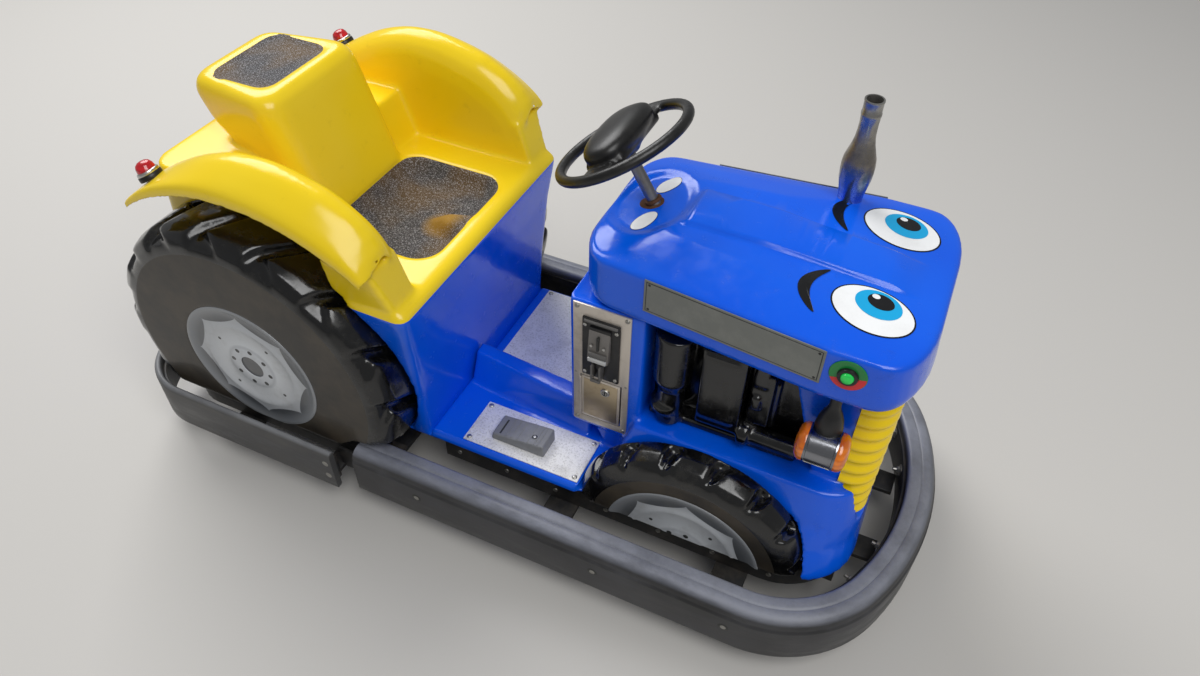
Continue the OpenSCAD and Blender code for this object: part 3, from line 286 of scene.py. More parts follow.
def moulded_rubber(name, colour, dust, drag_scale, shine, top_dust_and_sheen=None):
    """Moulded rubber: half matt, dusty, with pale scuffs dragged along the car.
    The last argument gives heights in mm between which the top turns paler, and that colour: dust, and a
    painted sheen of the sky on the upward faces."""
    mat, tree, place = start(name, IOR=1.5)
    drag = put(tree, "Mapping", {"Vector": place, "Scale": drag_scale}).outputs[0]
    # Scuffs 30 mm tall, drawn out along the car and broken up into finer ones
    scuff, pale, dull, broken = patches(tree, drag, 34, 8, 0.74, (0.48, 0.78, 0, 0.6),
                                        (0.4, 0.7, shine - 0.1, shine + 0.2), (0.3, 0.6, 0.5, 1))
    _, patch = patches(tree, place, 7, 4, 0.5, (0.3, 0.75, 0, 0.35))
    base = coated(tree, colour, (patch, dust), (pale, dust))
    # Paler towards the top: partly dust lying there, partly a painted highlight of the sky on the upward
    # faces
    if top_dust_and_sheen:
        starts, full, dirt = top_dust_and_sheen
        height = put(tree, "SeparateXYZ", {0: place}).outputs["Z"]
        dust_and_sheen_share = put(tree, "MapRange", {"Value": height, "From Min": starts * MM, "From Max": full * MM,
                                       "To Max": 0.85}).outputs[0]
        dust_and_sheen_share = put(tree, "Math", {0: dust_and_sheen_share, 1: broken}, operation="MULTIPLY").outputs[0]
        base = coated(tree, base, (dust_and_sheen_share, dirt))
    return finished(mat, base, dull, (scuff, 0.35, 1.2))


def plain_metal(name, colour, stain, roughness, metallic=1.0, stain_amount=0.4, stain_scale=28.0):
    """Bare or plated metal, with patches of rust or tarnish that dull it."""
    mat, tree, place = start(name, Metallic=metallic)
    _, patch, dull = patches(tree, place, stain_scale, 7, 0.7, (0.5, 0.72, 0, stain_amount),
                             (0.4, 0.7, roughness, min(1, roughness + 0.25)))
    return finished(mat, coated(tree, colour, (patch, stain)), dull)


def tread_sheet(name):
    """Embossed aluminium sheet: pitted skin of 4 mm dimples, dull dirt between them."""
    mat, tree, place = start(name, Metallic=0.12)
    pits = put(tree, "TexVoronoi", {"Vector": place, "Scale": 230.0}).outputs["Distance"]
    _, dark, dull = patches(tree, place, 260, 4, 0.75, (0.5, 0.7, 0, 0.7), (0, 1, 0.35, 0.6))
    _, worn = patches(tree, place, 18, 5, 0.5, (0.5, 0.75, 0, 0.5))
    return finished(mat, coated(tree, "#f1f0f0", (dark, "#9b9996"), (worn, "#a8a6a3")), dull,
                    (pits, 0.5, 1.0))


def banded_chrome(name, foot_z):
    """Chromed plastic, dulled by handling, with bands of colour near its foot: blue, then straw."""
    mat, tree, place = start(name, Metallic=0.9)
    height = put(tree, "SeparateXYZ", {0: place}).outputs["Z"]
    band = shades(tree, height, [((foot_z + above) * MM, code) for above, code in (
        (0, "#b6b6b4"), (16, "#6488cc"), (40, "#7289b2"), (74, "#8a8277"), (120, "#98938a"),
        (200, "#a5a4a0"))])
    _, smear, dull = patches(tree, place, 30, 7, 0.75, (0.48, 0.72, 0, 0.6), (0.4, 0.7, 0.2, 0.5))
    return finished(mat, coated(tree, band, (smear, "#3e3b36")), dull)


def plain_plastic(name, colour, dust, roughness, dust_amount=0.3):
    """Moulded plastic or paint: even colour under a little dust, with a fine grain."""
    mat, tree, place = start(name, Roughness=roughness, IOR=1.5)
    _, patch = patches(tree, place, 22, 6, 0.68, (0.45, 0.75, 0, dust_amount))
    grain, = patches(tree, place, 480, 2, 0.5)
    return finished(mat, coated(tree, colour, (patch, dust)), relief=(grain, 0.15, 0.4))


def ribbed_lens(name, colour, deep):
    """Coloured polycarbonate lens: rings moulded inside, drawn 9 mm apart, over a dark hollow."""
    mat, tree, place = start(name, Roughness=0.14, IOR=1.58, Coat_Weight=0.5, Coat_Roughness=0.05)
    rings = put(tree, "TexWave", {"Vector": place, "Scale": 36.0, "Distortion": 0.6},
                bands_direction="Z").outputs["Fac"]
    _, hollow = patches(tree, place, 40, 3, 0.5, (0.4, 0.62, 0, 0.75))
    rib = put(tree, "MapRange", {"Value": rings, "To Max": 0.35}).outputs[0]
    return finished(mat, coated(tree, colour, (hollow, deep), (rib, deep)), relief=(rings, 0.3, 1.0))


YELLOW = gelcoat("yellow_gelcoat", "#f4d00e", "#f8da2c", "#8a7020", 0.2)
SEAT_YELLOW = flocked_gelcoat("flocked_yellow_gelcoat", "#f6d214", "#fbdc34", "#ab8a1e",
                              [(-388, -156, 142, 440, 512.5, 48), (-622, -484, 94, 700, 743, 30)],
                              (-222, 0, 512))
BLUE = gelcoat("blue_gelcoat", "#0056e0", "#0c6aee", "#0a2c84", 0.26)
BLACK_PAINT = gloss_black("black_gloss_paint")
REAR_TYRE = gloss_black("black_paint_rear_tyre", REAR_WHEEL, 263, REAR_FACE - 6)
FRONT_TYRE = gloss_black("black_paint_front_tyre", FRONT_WHEEL, 178, FRONT_FACE - 7)
# The bumper's and the strip's tops turn paler: dust, and a painted sky sheen on their upward faces
RUBBER = moulded_rubber("bumper_rubber", "#1d1d1e", "#5c5c60", (0.2, 0.2, 1.0), 0.42,
                        (158, 169, "#8e919c"))
STRIP = moulded_rubber("strip_rubber", "#38393c", "#77746e", (0.2, 0.2, 1.0), 0.5,
                       (160, 166, "#86878a"))
TYRE_RUBBER = moulded_rubber("solid_wheel_rubber", "#2c2c2e", "#66625b", (1.0, 1.0, 1.0), 0.6)
FRAME = plain_plastic("frame_paint", "#1a1a1b", "#5a5248", 0.5, 0.5)
STAINLESS = plain_metal("brushed_stainless", "#cbc2b7", "#6f5c4c", 0.3, metallic=0.6, stain_scale=16.0)
STEEL = plain_metal("bare_steel", "#8f8d88", "#54402f", 0.34)
RUST = plain_metal("rusty_edge", "#5a3a24", "#2c1a10", 0.7, metallic=0.3)
CHROME = plain_metal("worn_chrome", "#cfcfcc", "#6f6a60", 0.14, stain_amount=0.3)
SCREW_STEEL = plain_metal("zinc_screws", "#c2c1bd", "#5c5650", 0.3)
EXHAUST = banded_chrome("banded_chrome", 662)
ALUMINIUM = tread_sheet("embossed_aluminium")
BLACK_PLASTIC = plain_plastic("black_plastic", "#111113", "#45433f", 0.38)
GLOSS_HOUSING = plain_metal("dark_chrome_housing", "#8b8c91", "#3c3a38", 0.1, stain_amount=0.25)
SMOKED = plain_plastic("grey_plastic", "#6e6a66", "#3c3a38", 0.32)
STEER_FOAM = plain_plastic("steering_foam", "#101010", "#3d3a35", 0.36)
GREY_PLATE = plain_plastic("grey_plate", "#72746f", "#9a9a92", 0.38)
# Dark grey: the lock's ring and the lamp strip's screws; on screw heads, slots, grooves and the plates'
# border it is painted shade
DARK_LINE = plain_plastic("dark_line", "#262725", "#4a4a46", 0.5)
REAR_RIM = rim_print("rim_print_rear", REAR_WHEEL)
FRONT_RIM = rim_print("rim_print_front", FRONT_WHEEL)
RED_LENS = ribbed_lens("red_lens", "#d3101e", "#7c0912")
GREEN_LENS = plain_plastic("green_lens", "#2fe060", "#0c6a2c", 0.12, 0.5)
ORANGE_LENS = ribbed_lens("orange_lens", "#f08216", "#b44e08")
DOOR_STEEL = plain_metal("tarnished_door_steel", "#b9a98f", "#6b5138", 0.34, stain_amount=0.55,
                         stain_scale=12.0)
DULL_SCREW = plain_metal("dull_screws", "#a3a19c", "#4c463f", 0.36)
MID_GREY = plain_plastic("mid_grey_plastic", "#5f5d5b", "#2f2e2d", 0.3)
PALE_STRIP = plain_plastic("pale_strip", "#b9b9b8", "#7e7d7a", 0.28)
BATTERY = plain_plastic("battery_case", "#45484c", "#6a6a66", 0.5)
PEDAL = plain_plastic("pedal_rubber", "#7b7c7f", "#969798", 0.5, 0.6)
PRINT_WHITE = plain_plastic("print_white", "#f2f3f3", "#c4c2bc", 0.2, 0.25)
PRINT_BLACK = plain_plastic("print_black", "#0e0f12", "#2c2d30", 0.2, 0.3)
PRINT_CYAN = plain_plastic("print_cyan", "#12a6dd", "#1b86bb", 0.2, 0.2)
PRINT_GREEN = plain_plastic("print_green", "#17803a", "#2c6b40", 0.24, 0.3)
PRINT_RED = plain_plastic("print_red", "#d4232b", "#8c2226", 0.24, 0.3)

# Finish of each CAD node, for where it shows itself
FINISH = {
    FRAME: "frame_rails cross_tubes outriggers body_posts steering_bridge bumper_band rear_band",
    BATTERY: "batteries",
    STEEL: "column_tube steering_fork rear_axle",
    TYRE_RUBBER: "drive_wheel rear_wheel_right rear_wheel_left",
    STAINLESS: "coin_panel cash_door",
    RUBBER: "front_bumper",
    STRIP: "rear_bumper",
    BLUE: "rear_body foot_tub front_plinth pedestal nose_column bonnet",
    SEAT_YELLOW: "seat_shell seat_mat back_mat",
    YELLOW: "grille",
    BLACK_PAINT: "engine_right engine_left rear_tyre_right rear_tyre_left front_tyre_right front_tyre_left",
    GREY_PLATE: "wheel_faces name_plates",
    ALUMINIUM: "footplates",
    PEDAL: "pedal",
    BLACK_PLASTIC: "coin_acceptor steering_wheel",
    GREEN_LENS: "charge_lamp",
    RED_LENS: "tail_lamps",
    ORANGE_LENS: "side_lamps",
    EXHAUST: "exhaust",
}
for mat, names in FINISH.items():
    for name in names.split():
        NODES[name].data.materials.clear()
        NODES[name].data.materials.append(mat)


# Making pieces

def put_in(name, made, mats, body, slot, *nodes, sharp=40):
    """Puts a finished mesh in the scene: it rides on a body, has a finish, and stands for CAD nodes."""
    if isinstance(made, bmesh.types.BMesh):
        mesh = bpy.data.meshes.new(name)
        made.to_mesh(mesh)
        made.free()
    else:
        mesh = made
        mesh.name = name
    piece = bpy.data.objects.new(name, mesh)
    bpy.context.scene.collection.objects.link(piece)
    for mat in mats if isinstance(mats, list) else [mats]:
        mesh.materials.append(mat)
    mesh.shade_smooth()
    if sharp:
        mesh.set_sharp_from_angle(angle=math.radians(sharp))
    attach(piece, body)
    if nodes:
        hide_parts(*nodes)
    return piece


def opened(mesh):
    """A mesh as a shape to work on."""
    part = bmesh.new()
    part.from_mesh(mesh)
    return part


def cad_copy(node):
    """A CAD node's shape to work on, its loose triangles joined."""
    part = opened(NODES[node].data)
    bmesh.ops.remove_doubles(part, verts=part.verts, dist=2e-5)
    return part


def placed(part, place):
    """The same shape, put in place."""
    bmesh.ops.transform(part, matrix=place, verts=part.verts)
    return part


def mirrored(part):
    """The same shape for the other side of the car."""
    bmesh.ops.scale(part, vec=(1, -1, 1), verts=part.verts)
    bmesh.ops.reverse_faces(part, faces=part.faces)
    return part


def join(made, part, finish=0):
    """Adds one shape to another; finish is the number of its material."""
    for f in part.faces:
        f.material_index = finish
    data = bpy.data.meshes.new("part")
    part.to_mesh(data)
    part.free()
    made.from_mesh(data)
    bpy.data.meshes.remove(data)


def towards(place, along):
    """Stands a shape made round Z at a place in mm, with its Z along a direction."""
    turn = Vector(along).to_track_quat("Z", "Y").to_matrix().to_4x4()
    return Matrix.Translation(Vector(place) * MM) @ turn


def turned(rows, steps):
    """Turns a profile of (radius, height) in mm round Z."""
    part = bmesh.new()
    line = [part.verts.new((r * MM, 0, h * MM)) for r, h in rows]
    edges = [part.edges.new(pair) for pair in zip(line, line[1:])]
    bmesh.ops.spin(part, geom=line + edges, cent=(0, 0, 0), axis=UP, angle=2 * math.pi,
                   steps=steps, use_merge=True)
    bmesh.ops.remove_doubles(part, verts=part.verts, dist=2e-6)
    bmesh.ops.recalc_face_normals(part, faces=part.faces)
    return part


def stand(made, rows, steps, place, along, finish=0):
    """Adds a turned part, stood at a place in mm with its axis along a direction."""
    join(made, placed(turned(rows, steps), towards(place, along)), finish)


def block(low, high, round_by=0.0, segments=3):
    """A block between two corners in mm, with its edges rounded."""
    part = bmesh.new()
    size = (Vector(high) - Vector(low)) * MM
    mid = (Vector(high) + Vector(low)) * MM / 2
    bmesh.ops.create_cube(part, size=1, matrix=Matrix.Translation(mid) @ Matrix.Diagonal((*size, 1)))
    if round_by:
        bmesh.ops.bevel(part, geom=part.edges[:], offset=round_by * MM, segments=segments,
                        profile=0.5, affect="EDGES", material=-1)
    return part


def path_arc(cx, cy, r, a0, a1, n):
    """Points of an arc with their outward directions; angles in degrees."""
    turns = [math.radians(a0 + (a1 - a0) * i / n) for i in range(n + 1)]
    return [(cx + r * math.cos(a), cy + r * math.sin(a), math.cos(a), math.sin(a)) for a in turns]


def and_across(path):
    """A path along one side of the car, then its mirror image back along the other."""
    return path + [(x, -y, nx, -ny) for x, y, nx, ny in reversed(path)]


def swept(section, path):
    """Draws a closed section of (distance inwards, height) in mm along a path of arcs and straights,
    given as (x, y) and its outward direction."""
    made = bmesh.new()
    loops = []
    for x, y, nx, ny in path:
        ring = [made.verts.new(((x - nx * q) * MM, (y - ny * q) * MM, h * MM)) for q, h in section]
        loops.append([made.edges.new((a, b)) for a, b in zip(ring, ring[1:] + ring[:1])])
    for a, b in zip(loops, loops[1:]):
        bmesh.ops.bridge_loops(made, edges=a + b)
    bmesh.ops.holes_fill(made, edges=loops[0] + loops[-1], sides=0)
    bmesh.ops.recalc_face_normals(made, faces=made.faces)
    return made


def split(part, place, normal, keep_front=False):
    """Cuts a shape by a plane through a place in mm; keep_front drops what is behind and closes it."""
    bmesh.ops.bisect_plane(part, geom=part.verts[:] + part.edges[:] + part.faces[:], dist=1e-6,
                           plane_co=[c * MM for c in place], plane_no=normal, clear_inner=keep_front)
    if keep_front:
        bmesh.ops.holes_fill(part, edges=[e for e in part.edges if e.is_boundary], sides=0)
    return part


def shaped(made, kind, **settings):
    """The mesh that one kind of modifier, with its settings, makes of a shape, which is used up."""
    data = bpy.data.meshes.new("shape")
    made.to_mesh(data)
    made.free()
    work = bpy.data.objects.new("shape", data)
    bpy.context.scene.collection.objects.link(work)
    modifier = work.modifiers.new(kind, kind)
    for key, value in settings.items():
        setattr(modifier, key, value)
    result = bpy.data.meshes.new_from_object(work.evaluated_get(bpy.context.evaluated_depsgraph_get()))
    bpy.data.objects.remove(work)
    bpy.data.meshes.remove(data)
    return result


def keep_largest(made):
    """Drops the closed inner skins, which nobody sees."""
    left = set(made.verts)
    best = []
    while left:
        seed = left.pop()
        island, edge = [seed], [seed]
        while edge:
            v = edge.pop()
            for e in v.link_edges:
                o = e.other_vert(v)
                if o in left:
                    left.remove(o)
                    island.append(o)
                    edge.append(o)
        if len(island) > len(best):
            best = island
    keep = set(best)
    bmesh.ops.delete(made, geom=[v for v in made.verts if v not in keep], context="VERTS")


def fused(nodes, plugs, voxel, rounds, mends=None, extra=()):
    """Outer skin of several CAD shells, smoothed in rounds, with voxels in mm. Plugs are boxes in mm
    that close their openings; mends are changes to a node's shell, and extra shapes are added."""
    made = bmesh.new()
    for node in nodes:
        part = cad_copy(node)
        if mends and node in mends:
            mends[node](part)
        join(made, part)
    for x0, x1, y0, y1, z0, z1 in plugs:
        join(made, block((x0, y0, z0), (x1, y1, z1)))
    for part in extra:
        join(made, part)
    skin = opened(shaped(made, "REMESH", mode="VOXEL", voxel_size=voxel * MM))
    keep_largest(skin)
    for _ in range(rounds):
        bmesh.ops.smooth_vert(skin, verts=skin.verts, factor=0.5, use_axis_x=True, use_axis_y=True,
                              use_axis_z=True)
    return skin


def reduced(made, share):
    """The mesh with fewer faces where it is flat."""
    return shaped(made, "DECIMATE", ratio=share)


def softened(name, width, mat, slot, node):
    """A CAD part with its sharp edges rounded, as cut and folded metal has them."""
    part = cad_copy(node)
    bmesh.ops.dissolve_limit(part, angle_limit=math.radians(1), verts=part.verts[:], edges=part.edges[:])
    soft = shaped(part, "BEVEL", width=width * MM, segments=2, limit_method="ANGLE",
                  angle_limit=math.radians(40))
    put_in(name, soft, mat, "car", slot, node)


# Rear body and seat: one moulding, yellow above the painted line and blue below

def lift_top(part):
    """The blue part runs a little way into the yellow one, so that both become one skin."""
    for v in part.verts:
        if v.co.z > (PAINT_LINE - 0.5) * MM:
            v.co.z += 1.5 * MM


REAR_NODES = ["rear_body", "seat_shell", "seat_mat", "back_mat"]
# Plugs: the body's open floor, and the deck's gap beside each mudguard
rear_skin = fused(REAR_NODES,
                  [(-700, -150, -230, 230, 148, 153), (-300, -118, -242, 242, 148, 153),
                   (-630, -540, 206, 232, 592, 604), (-630, -540, -232, -206, 592, 604)],
                  4, 12, {"rear_body": lift_top})
rear = opened(reduced(rear_skin, 0.4))
split(rear, (0, 0, PAINT_LINE), UP)
for f in rear.faces:
    x, y, z = (c / MM for c in f.calc_center_median())
    in_dish = DISH_X0 < x < DISH_X1 and abs(y) < DISH_HALF and z > DISH_Z0
    f.material_index = 0 if z > PAINT_LINE or in_dish else 1
put_in("body_moulding", rear, [SEAT_YELLOW, BLUE], "car", "grp_yellow", *REAR_NODES, sharp=60)


# Footwells, plinth, pedestal and nose: one blue moulding

FRONT_NODES = ["foot_tub", "front_plinth", "pedestal", "nose_column"]
# Plugs: the open floor, the pedestal and the nose, then the pocket of the cash box behind its door
front = fused(FRONT_NODES,
              [(-134, 205, -234, 234, 150, 156), (200, 640, -200, 200, 150, 156),
               (205, 262, -155, 155, 552, 558), (259, 265, -155, 155, 314, 558),
               (135, 262, -152, 152, 552, 558), (163, 224, -157, -151, 396, 530),
               (590, 668, -128, 128, 552, 558), (620, 668, -126, 126, 236, 242),
               (144, 236, -104, -98, 278, 400), (144, 236, -158, -98, 272, 280),
               (144, 236, -158, -98, 396, 404), (142, 150, -158, -98, 272, 404),
               (230, 238, -158, -98, 272, 404)],
              4, 6)
put_in("front_moulding", reduced(front, 0.4), BLUE, "car", "grp_blue", *FRONT_NODES, sharp=60)


# Bonnet, with the raised spine along its middle and the dip round the steering column

def ease(value, start_at, end_at):
    """0 before the start and 1 past the end, smooth between them."""
    t = min(1, max(0, (value - start_at) / (end_at - start_at)))
    return t * t * (3 - 2 * t)


def filled(part):
    """The bonnet's outer form is convex, so its hull closes the slot, the hole and the floor."""
    bmesh.ops.convex_hull(part, input=part.verts[:])
    inner = [v for v in part.verts if not v.link_faces]
    bmesh.ops.delete(part, geom=inner, context="VERTS")


# The spine narrows towards the front and falls away at its ends; the dip is an oval
SPINE_TALL, SPINE_HALF, SPINE_X0, SPINE_X1, TAPER = 8.5, 52, 268, 648, 0.02
DIP_DEEP, DIP_X, DIP_LONG, DIP_WIDE = 9, 205, 72, 104
TOP_Z = 640
hood = fused(["bonnet"], [], 3.5, 8, {"bonnet": filled})
for v in hood.verts:
    x, y, z = (c / MM for c in v.co)
    top = ease(z, TOP_Z, TOP_Z + 20)
    across = ease(SPINE_HALF - abs(y) - TAPER * (x - 280), 0, 7)
    spine = SPINE_TALL * ease(x, SPINE_X0, SPINE_X0 + 16) * ease(SPINE_X1 - x, 0, 60) * across
    dip = -DIP_DEEP * ease(1 - math.hypot((x - DIP_X) / DIP_LONG, y / DIP_WIDE), 0, 0.3)
    v.co.z += top * (spine + dip) * MM
bonnet_piece = put_in("bonnet_moulding", reduced(hood, 0.45), BLUE, "car", "grp_blue", "bonnet",
                      sharp=60)
bonnet_top = BVHTree.FromPolygons([v.co for v in bonnet_piece.data.vertices],
                                  [p.vertices[:] for p in bonnet_piece.data.polygons])


def lay(part, lift):
    """Drapes a flat shape over the bonnet, a little above it (mm)."""
    for v in part.verts:
        hit = bonnet_top.ray_cast(Vector((v.co.x, v.co.y, 1)), Vector((0, 0, -1)))
        if hit[0]:
            v.co.z = hit[0].z + lift * MM


def bonnet_half(x):
    """Half the bonnet's width at a place along it."""
    return BONNET_HALF + SPREAD * min(1, max(0, (x - SPREAD_X) / SPREAD_RUN))


# Grille: soft ribs moulded round the nose

def grille_skin():
    """A sheet round the nose, drawn level by level, whose ribs are a wave in its depth."""
    ribs, rib_depth, steps = 11, 3.2, 99
    back_x, corner_x, corner_y, corner_r, inside_x = 616, 626, -94, 48, 500
    low, high = BOX["grille"][0][2], BOX["grille"][1][2]
    made = bmesh.new()
    outline = [(x, corner_y - corner_r, 0, -1) for x in (back_x, corner_x)]
    outline = and_across(outline + path_arc(corner_x, corner_y, corner_r, -90, 0, 10))
    loops = []
    for k in range(steps + 1):
        z = low + (high - low) * k / steps
        depth = rib_depth * (1 - math.cos(2 * math.pi * ribs * k / steps))
        row = [made.verts.new(((x - nx * depth) * MM, (y - ny * depth) * MM, z * MM))
               for x, y, nx, ny in outline]
        loops.append([made.edges.new(pair) for pair in zip(row, row[1:])])
    for a, b in zip(loops, loops[1:]):
        bmesh.ops.bridge_loops(made, edges=a + b)
    bmesh.ops.recalc_face_normals(made, faces=made.faces)
    made.faces.ensure_lookup_table()
    normal, middle = made.faces[0].normal, made.faces[0].calc_center_median()
    if normal.x * (middle.x - inside_x * MM) + normal.y * middle.y < 0:
        bmesh.ops.reverse_faces(made, faces=made.faces)
    bmesh.ops.solidify(made, geom=made.faces[:], thickness=3.5 * MM)
    return made


put_in("grille_moulding", grille_skin(), YELLOW, "car", "grp_yellow", "grille", sharp=50)


# Engine relief: vacuum-formed look, so every edge is soft

# Over the CAD relief: the cover's raised face, two lugs, the filter's cap, two small pipes, the lower
# pipe's flange and the filter's foot
engine_forms = [block((362, 140, 372), (426, 149, 520), 8), block((446, 120, 420), (464, 139, 452), 6),
                block((446, 126, 470), (470, 134, 520), 5)]
for place, along, rows in (
        ((307, 128, 430), (0, 1, 0), [(0, -3), (30, -3), (33, 0), (33, 5), (27, 8), (20, 8), (17, 5),
                                      (0, 5)]),
        ((452, 118, 350), UP, [(0, 0), (12, 0), (12, 70), (9, 74), (0, 74)]),
        ((482, 112, 372), UP, [(0, 0), (10, 0), (10, 108), (7, 112), (0, 112)]),
        ((436, 127, 349), FORWARD, [(0, 0), (23, 0), (24, 3), (24, 16), (22, 19), (0, 19)]),
        ((303, 128, 352), UP, [(0, 0), (29, 0), (30, 3), (30, 16), (24, 20), (0, 20)])):
    engine_forms.append(placed(turned(rows, 32), towards(place, along)))
engine = reduced(fused(["engine_left"], [], 2.5, 6, extra=engine_forms), 0.4)
put_in("engine_relief_left", engine, BLACK_PAINT, "car", "engine_black", "engine_left", sharp=60)
put_in("engine_relief_right", mirrored(opened(engine)), BLACK_PAINT, "car", "engine_black",
       "engine_right", sharp=60)


# Mock tyres: thick glossy paint rounds every block

for end, mat, voxel in (("rear", REAR_TYRE, 4), ("front", FRONT_TYRE, 3.5)):
    tyre = reduced(fused([end + "_tyre_left"], [], voxel, 5), 0.45)
    put_in(end + "_tyre_skin_left", tyre, mat, "car", "tyre_black", end + "_tyre_left", sharp=60)
    put_in(end + "_tyre_skin_right", mirrored(opened(tyre)), mat, "car", "tyre_black",
           end + "_tyre_right", sharp=60)


# Wheel discs: printed film over a shallow relief, cut off level with the tyres

DISC = [(0, -8), (141, -8), (141, 1), (147, 1), (147.5, 0.2), (147, 1.4), (143, 2.2), (139, 1),
        (128, -2.5), (104, -2.5), (99, -0.5), (94, -2.5), (52, -2.5), (48, -1.2), (26, -1.2),
        (24, -4), (0, -4)]
discs = bmesh.new()
for (x, z), face, cut, finish in ((REAR_WHEEL, REAR_FACE, 148, 0),
                                  (FRONT_WHEEL, FRONT_FACE, 151, 1)):
    for side in SIDES:
        disc = placed(turned(DISC, 96), towards((x, side * (face - 1.4), z), (0, side, 0)))
        join(discs, split(disc, (0, 0, cut), UP, keep_front=True), finish)
put_in("wheel_discs", discs, [REAR_RIM, FRONT_RIM], "car", "wheel_print", "wheel_faces", sharp=50)


# Bumpers: a moulded section drawn along each path

# The front bumper's side runs into a corner arc, and that into the nose's wide arc
(bump_x0, _, z0), (bump_x1, bump_half, z1) = BOX["front_bumper"]
CORNER, CORNER_BACK = 240, 266
corner_x, corner_y = bump_x1 - CORNER_BACK, bump_half - CORNER
ahead = bump_x1 - corner_x
nose_r = (ahead ** 2 + corner_y ** 2 - CORNER ** 2) / (2 * (ahead - CORNER))
nose_cx = bump_x1 - nose_r
nose_a = math.degrees(math.atan2(corner_y, corner_x - nose_cx))
flank = [(bump_x0 + (corner_x - bump_x0) * i / 6, bump_half, 0, 1) for i in range(6)]
flank += path_arc(corner_x, corner_y, CORNER, 90, nose_a, 20)
flank += path_arc(nose_cx, 0, nose_r, nose_a * 0.9, 0, 9)
nose_path = [(x, -y, nx, -ny) for x, y, nx, ny in flank] + flank[-2::-1]
rubber = swept([(5, z0), (2, z0 + 2), (0.9, z0 + 6), (0.9, z1 - 30), (1.4, z1 - 26), (3.4, z1 - 24.4),
                (4.2, z1 - 21), (5.4, z1 - 14), (9, z1 - 7.5), (15, z1 - 3), (22, z1 - 0.8), (30, z1 - 0.6),
                (32, z1 - 2.2), (34, z1 - 0.6), (38, z1), (50, z1), (54, z1 - 1.4), (57, z1 - 5),
                (57, z0 + 4), (53, z0)], nose_path)
put_in("front_bumper_rubber", rubber, RUBBER, "car", "bumper_rubber", "front_bumper", sharp=50)

(tail_x0, _, z0), (tail_x1, tail_half, z1) = BOX["rear_bumper"]
TAIL_CORNER = 130
tail = [(tail_x1 + (tail_x0 + TAIL_CORNER - tail_x1) * i / 6, tail_half, 0, 1) for i in range(6)]
tail += path_arc(tail_x0 + TAIL_CORNER, tail_half - TAIL_CORNER, TAIL_CORNER, 90, 180, 20)
strip = swept([(2.5, z0), (0.9, z0 + 4), (0.9, z1 - 12), (1.6, z1 - 6), (4, z1 - 2), (8, z1), (11, z1 - 0.6),
               (13.2, z1 - 2.6), (14, z1 - 6), (14, z0 + 3), (11, z0)], and_across(tail))
put_in("rear_strip_rubber", strip, STRIP, "car", "strip_rubber", "rear_bumper", sharp=50)


# Steering wheel: foam rim and padded hub on two spokes, and its bare shaft

def on_column(height):
    """Stands a shape on the steering column, at a height in mm along it."""
    return Matrix.Translation((COLUMN + ALONG * height) * MM) @ Matrix.Rotation(-LEAN, 4, "Y")


def steering_forms():
    """The rim, the hub's oval pillow, highest in its middle, the spokes' two plates and the boss."""
    rim_r, rim_thick = 112.4, 9.6
    pad_x, pad_y, pad_z, pad_up, squareness = 44, 84, 22, 16, 2.6
    rim = bmesh.new()
    across = Matrix.Translation((rim_r * MM, 0, 0)) @ Matrix.Rotation(math.pi / 2, 4, "X")
    bmesh.ops.create_circle(rim, cap_ends=False, segments=24, radius=rim_thick * MM, matrix=across)
    bmesh.ops.spin(rim, geom=rim.verts[:] + rim.edges[:], cent=(0, 0, 0), axis=UP,
                   angle=2 * math.pi, steps=96, use_merge=True)
    bmesh.ops.remove_doubles(rim, verts=rim.verts, dist=2e-6)
    bmesh.ops.recalc_face_normals(rim, faces=rim.faces)
    pad = bmesh.new()
    bmesh.ops.create_uvsphere(pad, u_segments=48, v_segments=24, radius=1)
    for v in pad.verts:
        x, y, z = v.co
        reach = sum(abs(c) ** squareness for c in (x, y, z)) ** (1 / squareness)
        fat = 1 / max(1e-6, reach)
        v.co = Vector((pad_x * x * fat, pad_y * y * fat, pad_z * z * fat + pad_up)) * MM
    return [placed(part, on_column(WHEEL_AT)) for part in (
        rim, pad, block((-26, -112, -4), (26, 112, 5), 3), block((-36, -74, -8), (36, 74, 8), 6),
        turned([(0, -20), (19, -20), (24, -14), (40, 0), (40, 4), (0, 4)], 40))]


foam = reduced(fused([], [], 3, 4, extra=steering_forms()), 0.5)
put_in("steering_wheel_foam", foam, STEER_FOAM, "steering_wheel", "steer_black", "steering_wheel",
       sharp=60)

# Shaft, the cup at its foot and a rusty collar where it meets the bonnet
steel = bmesh.new()
for height, rows, steps, finish in (
        (0, [(0, -330), (10, -330), (10, 95), (0, 95)], 32, 0),
        (0, [(0, -352), (16, -352), (16, -300), (13, -298), (0, -298)], 32, 0),
        (6, [(10, -2), (14.5, -2), (15, 0), (14, 2.5), (10, 3)], 40, 1)):
    join(steel, placed(turned(rows, steps), on_column(height)), finish)
put_in("steering_shaft", steel, [STEEL, RUST], "steering_wheel", "steer_steel", "steering_wheel")

# Rusty edge of the slot, where the shaft goes through the bonnet
slot_rim = bmesh.new()
bmesh.ops.create_circle(slot_rim, cap_ends=True, segments=40, radius=20 * MM,
                        matrix=Matrix.Translation((203 * MM, 0, 660 * MM)))
bmesh.ops.inset_region(slot_rim, faces=slot_rim.faces[:], thickness=6 * MM)
lay(slot_rim, 0.7)
bmesh.ops.solidify(slot_rim, geom=slot_rim.faces[:], thickness=1 * MM)
put_in("column_slot_edge", slot_rim, RUST, "car", "steer_steel", sharp=0)


# Printed eyes, brows and labels on the bonnet: plain ovals

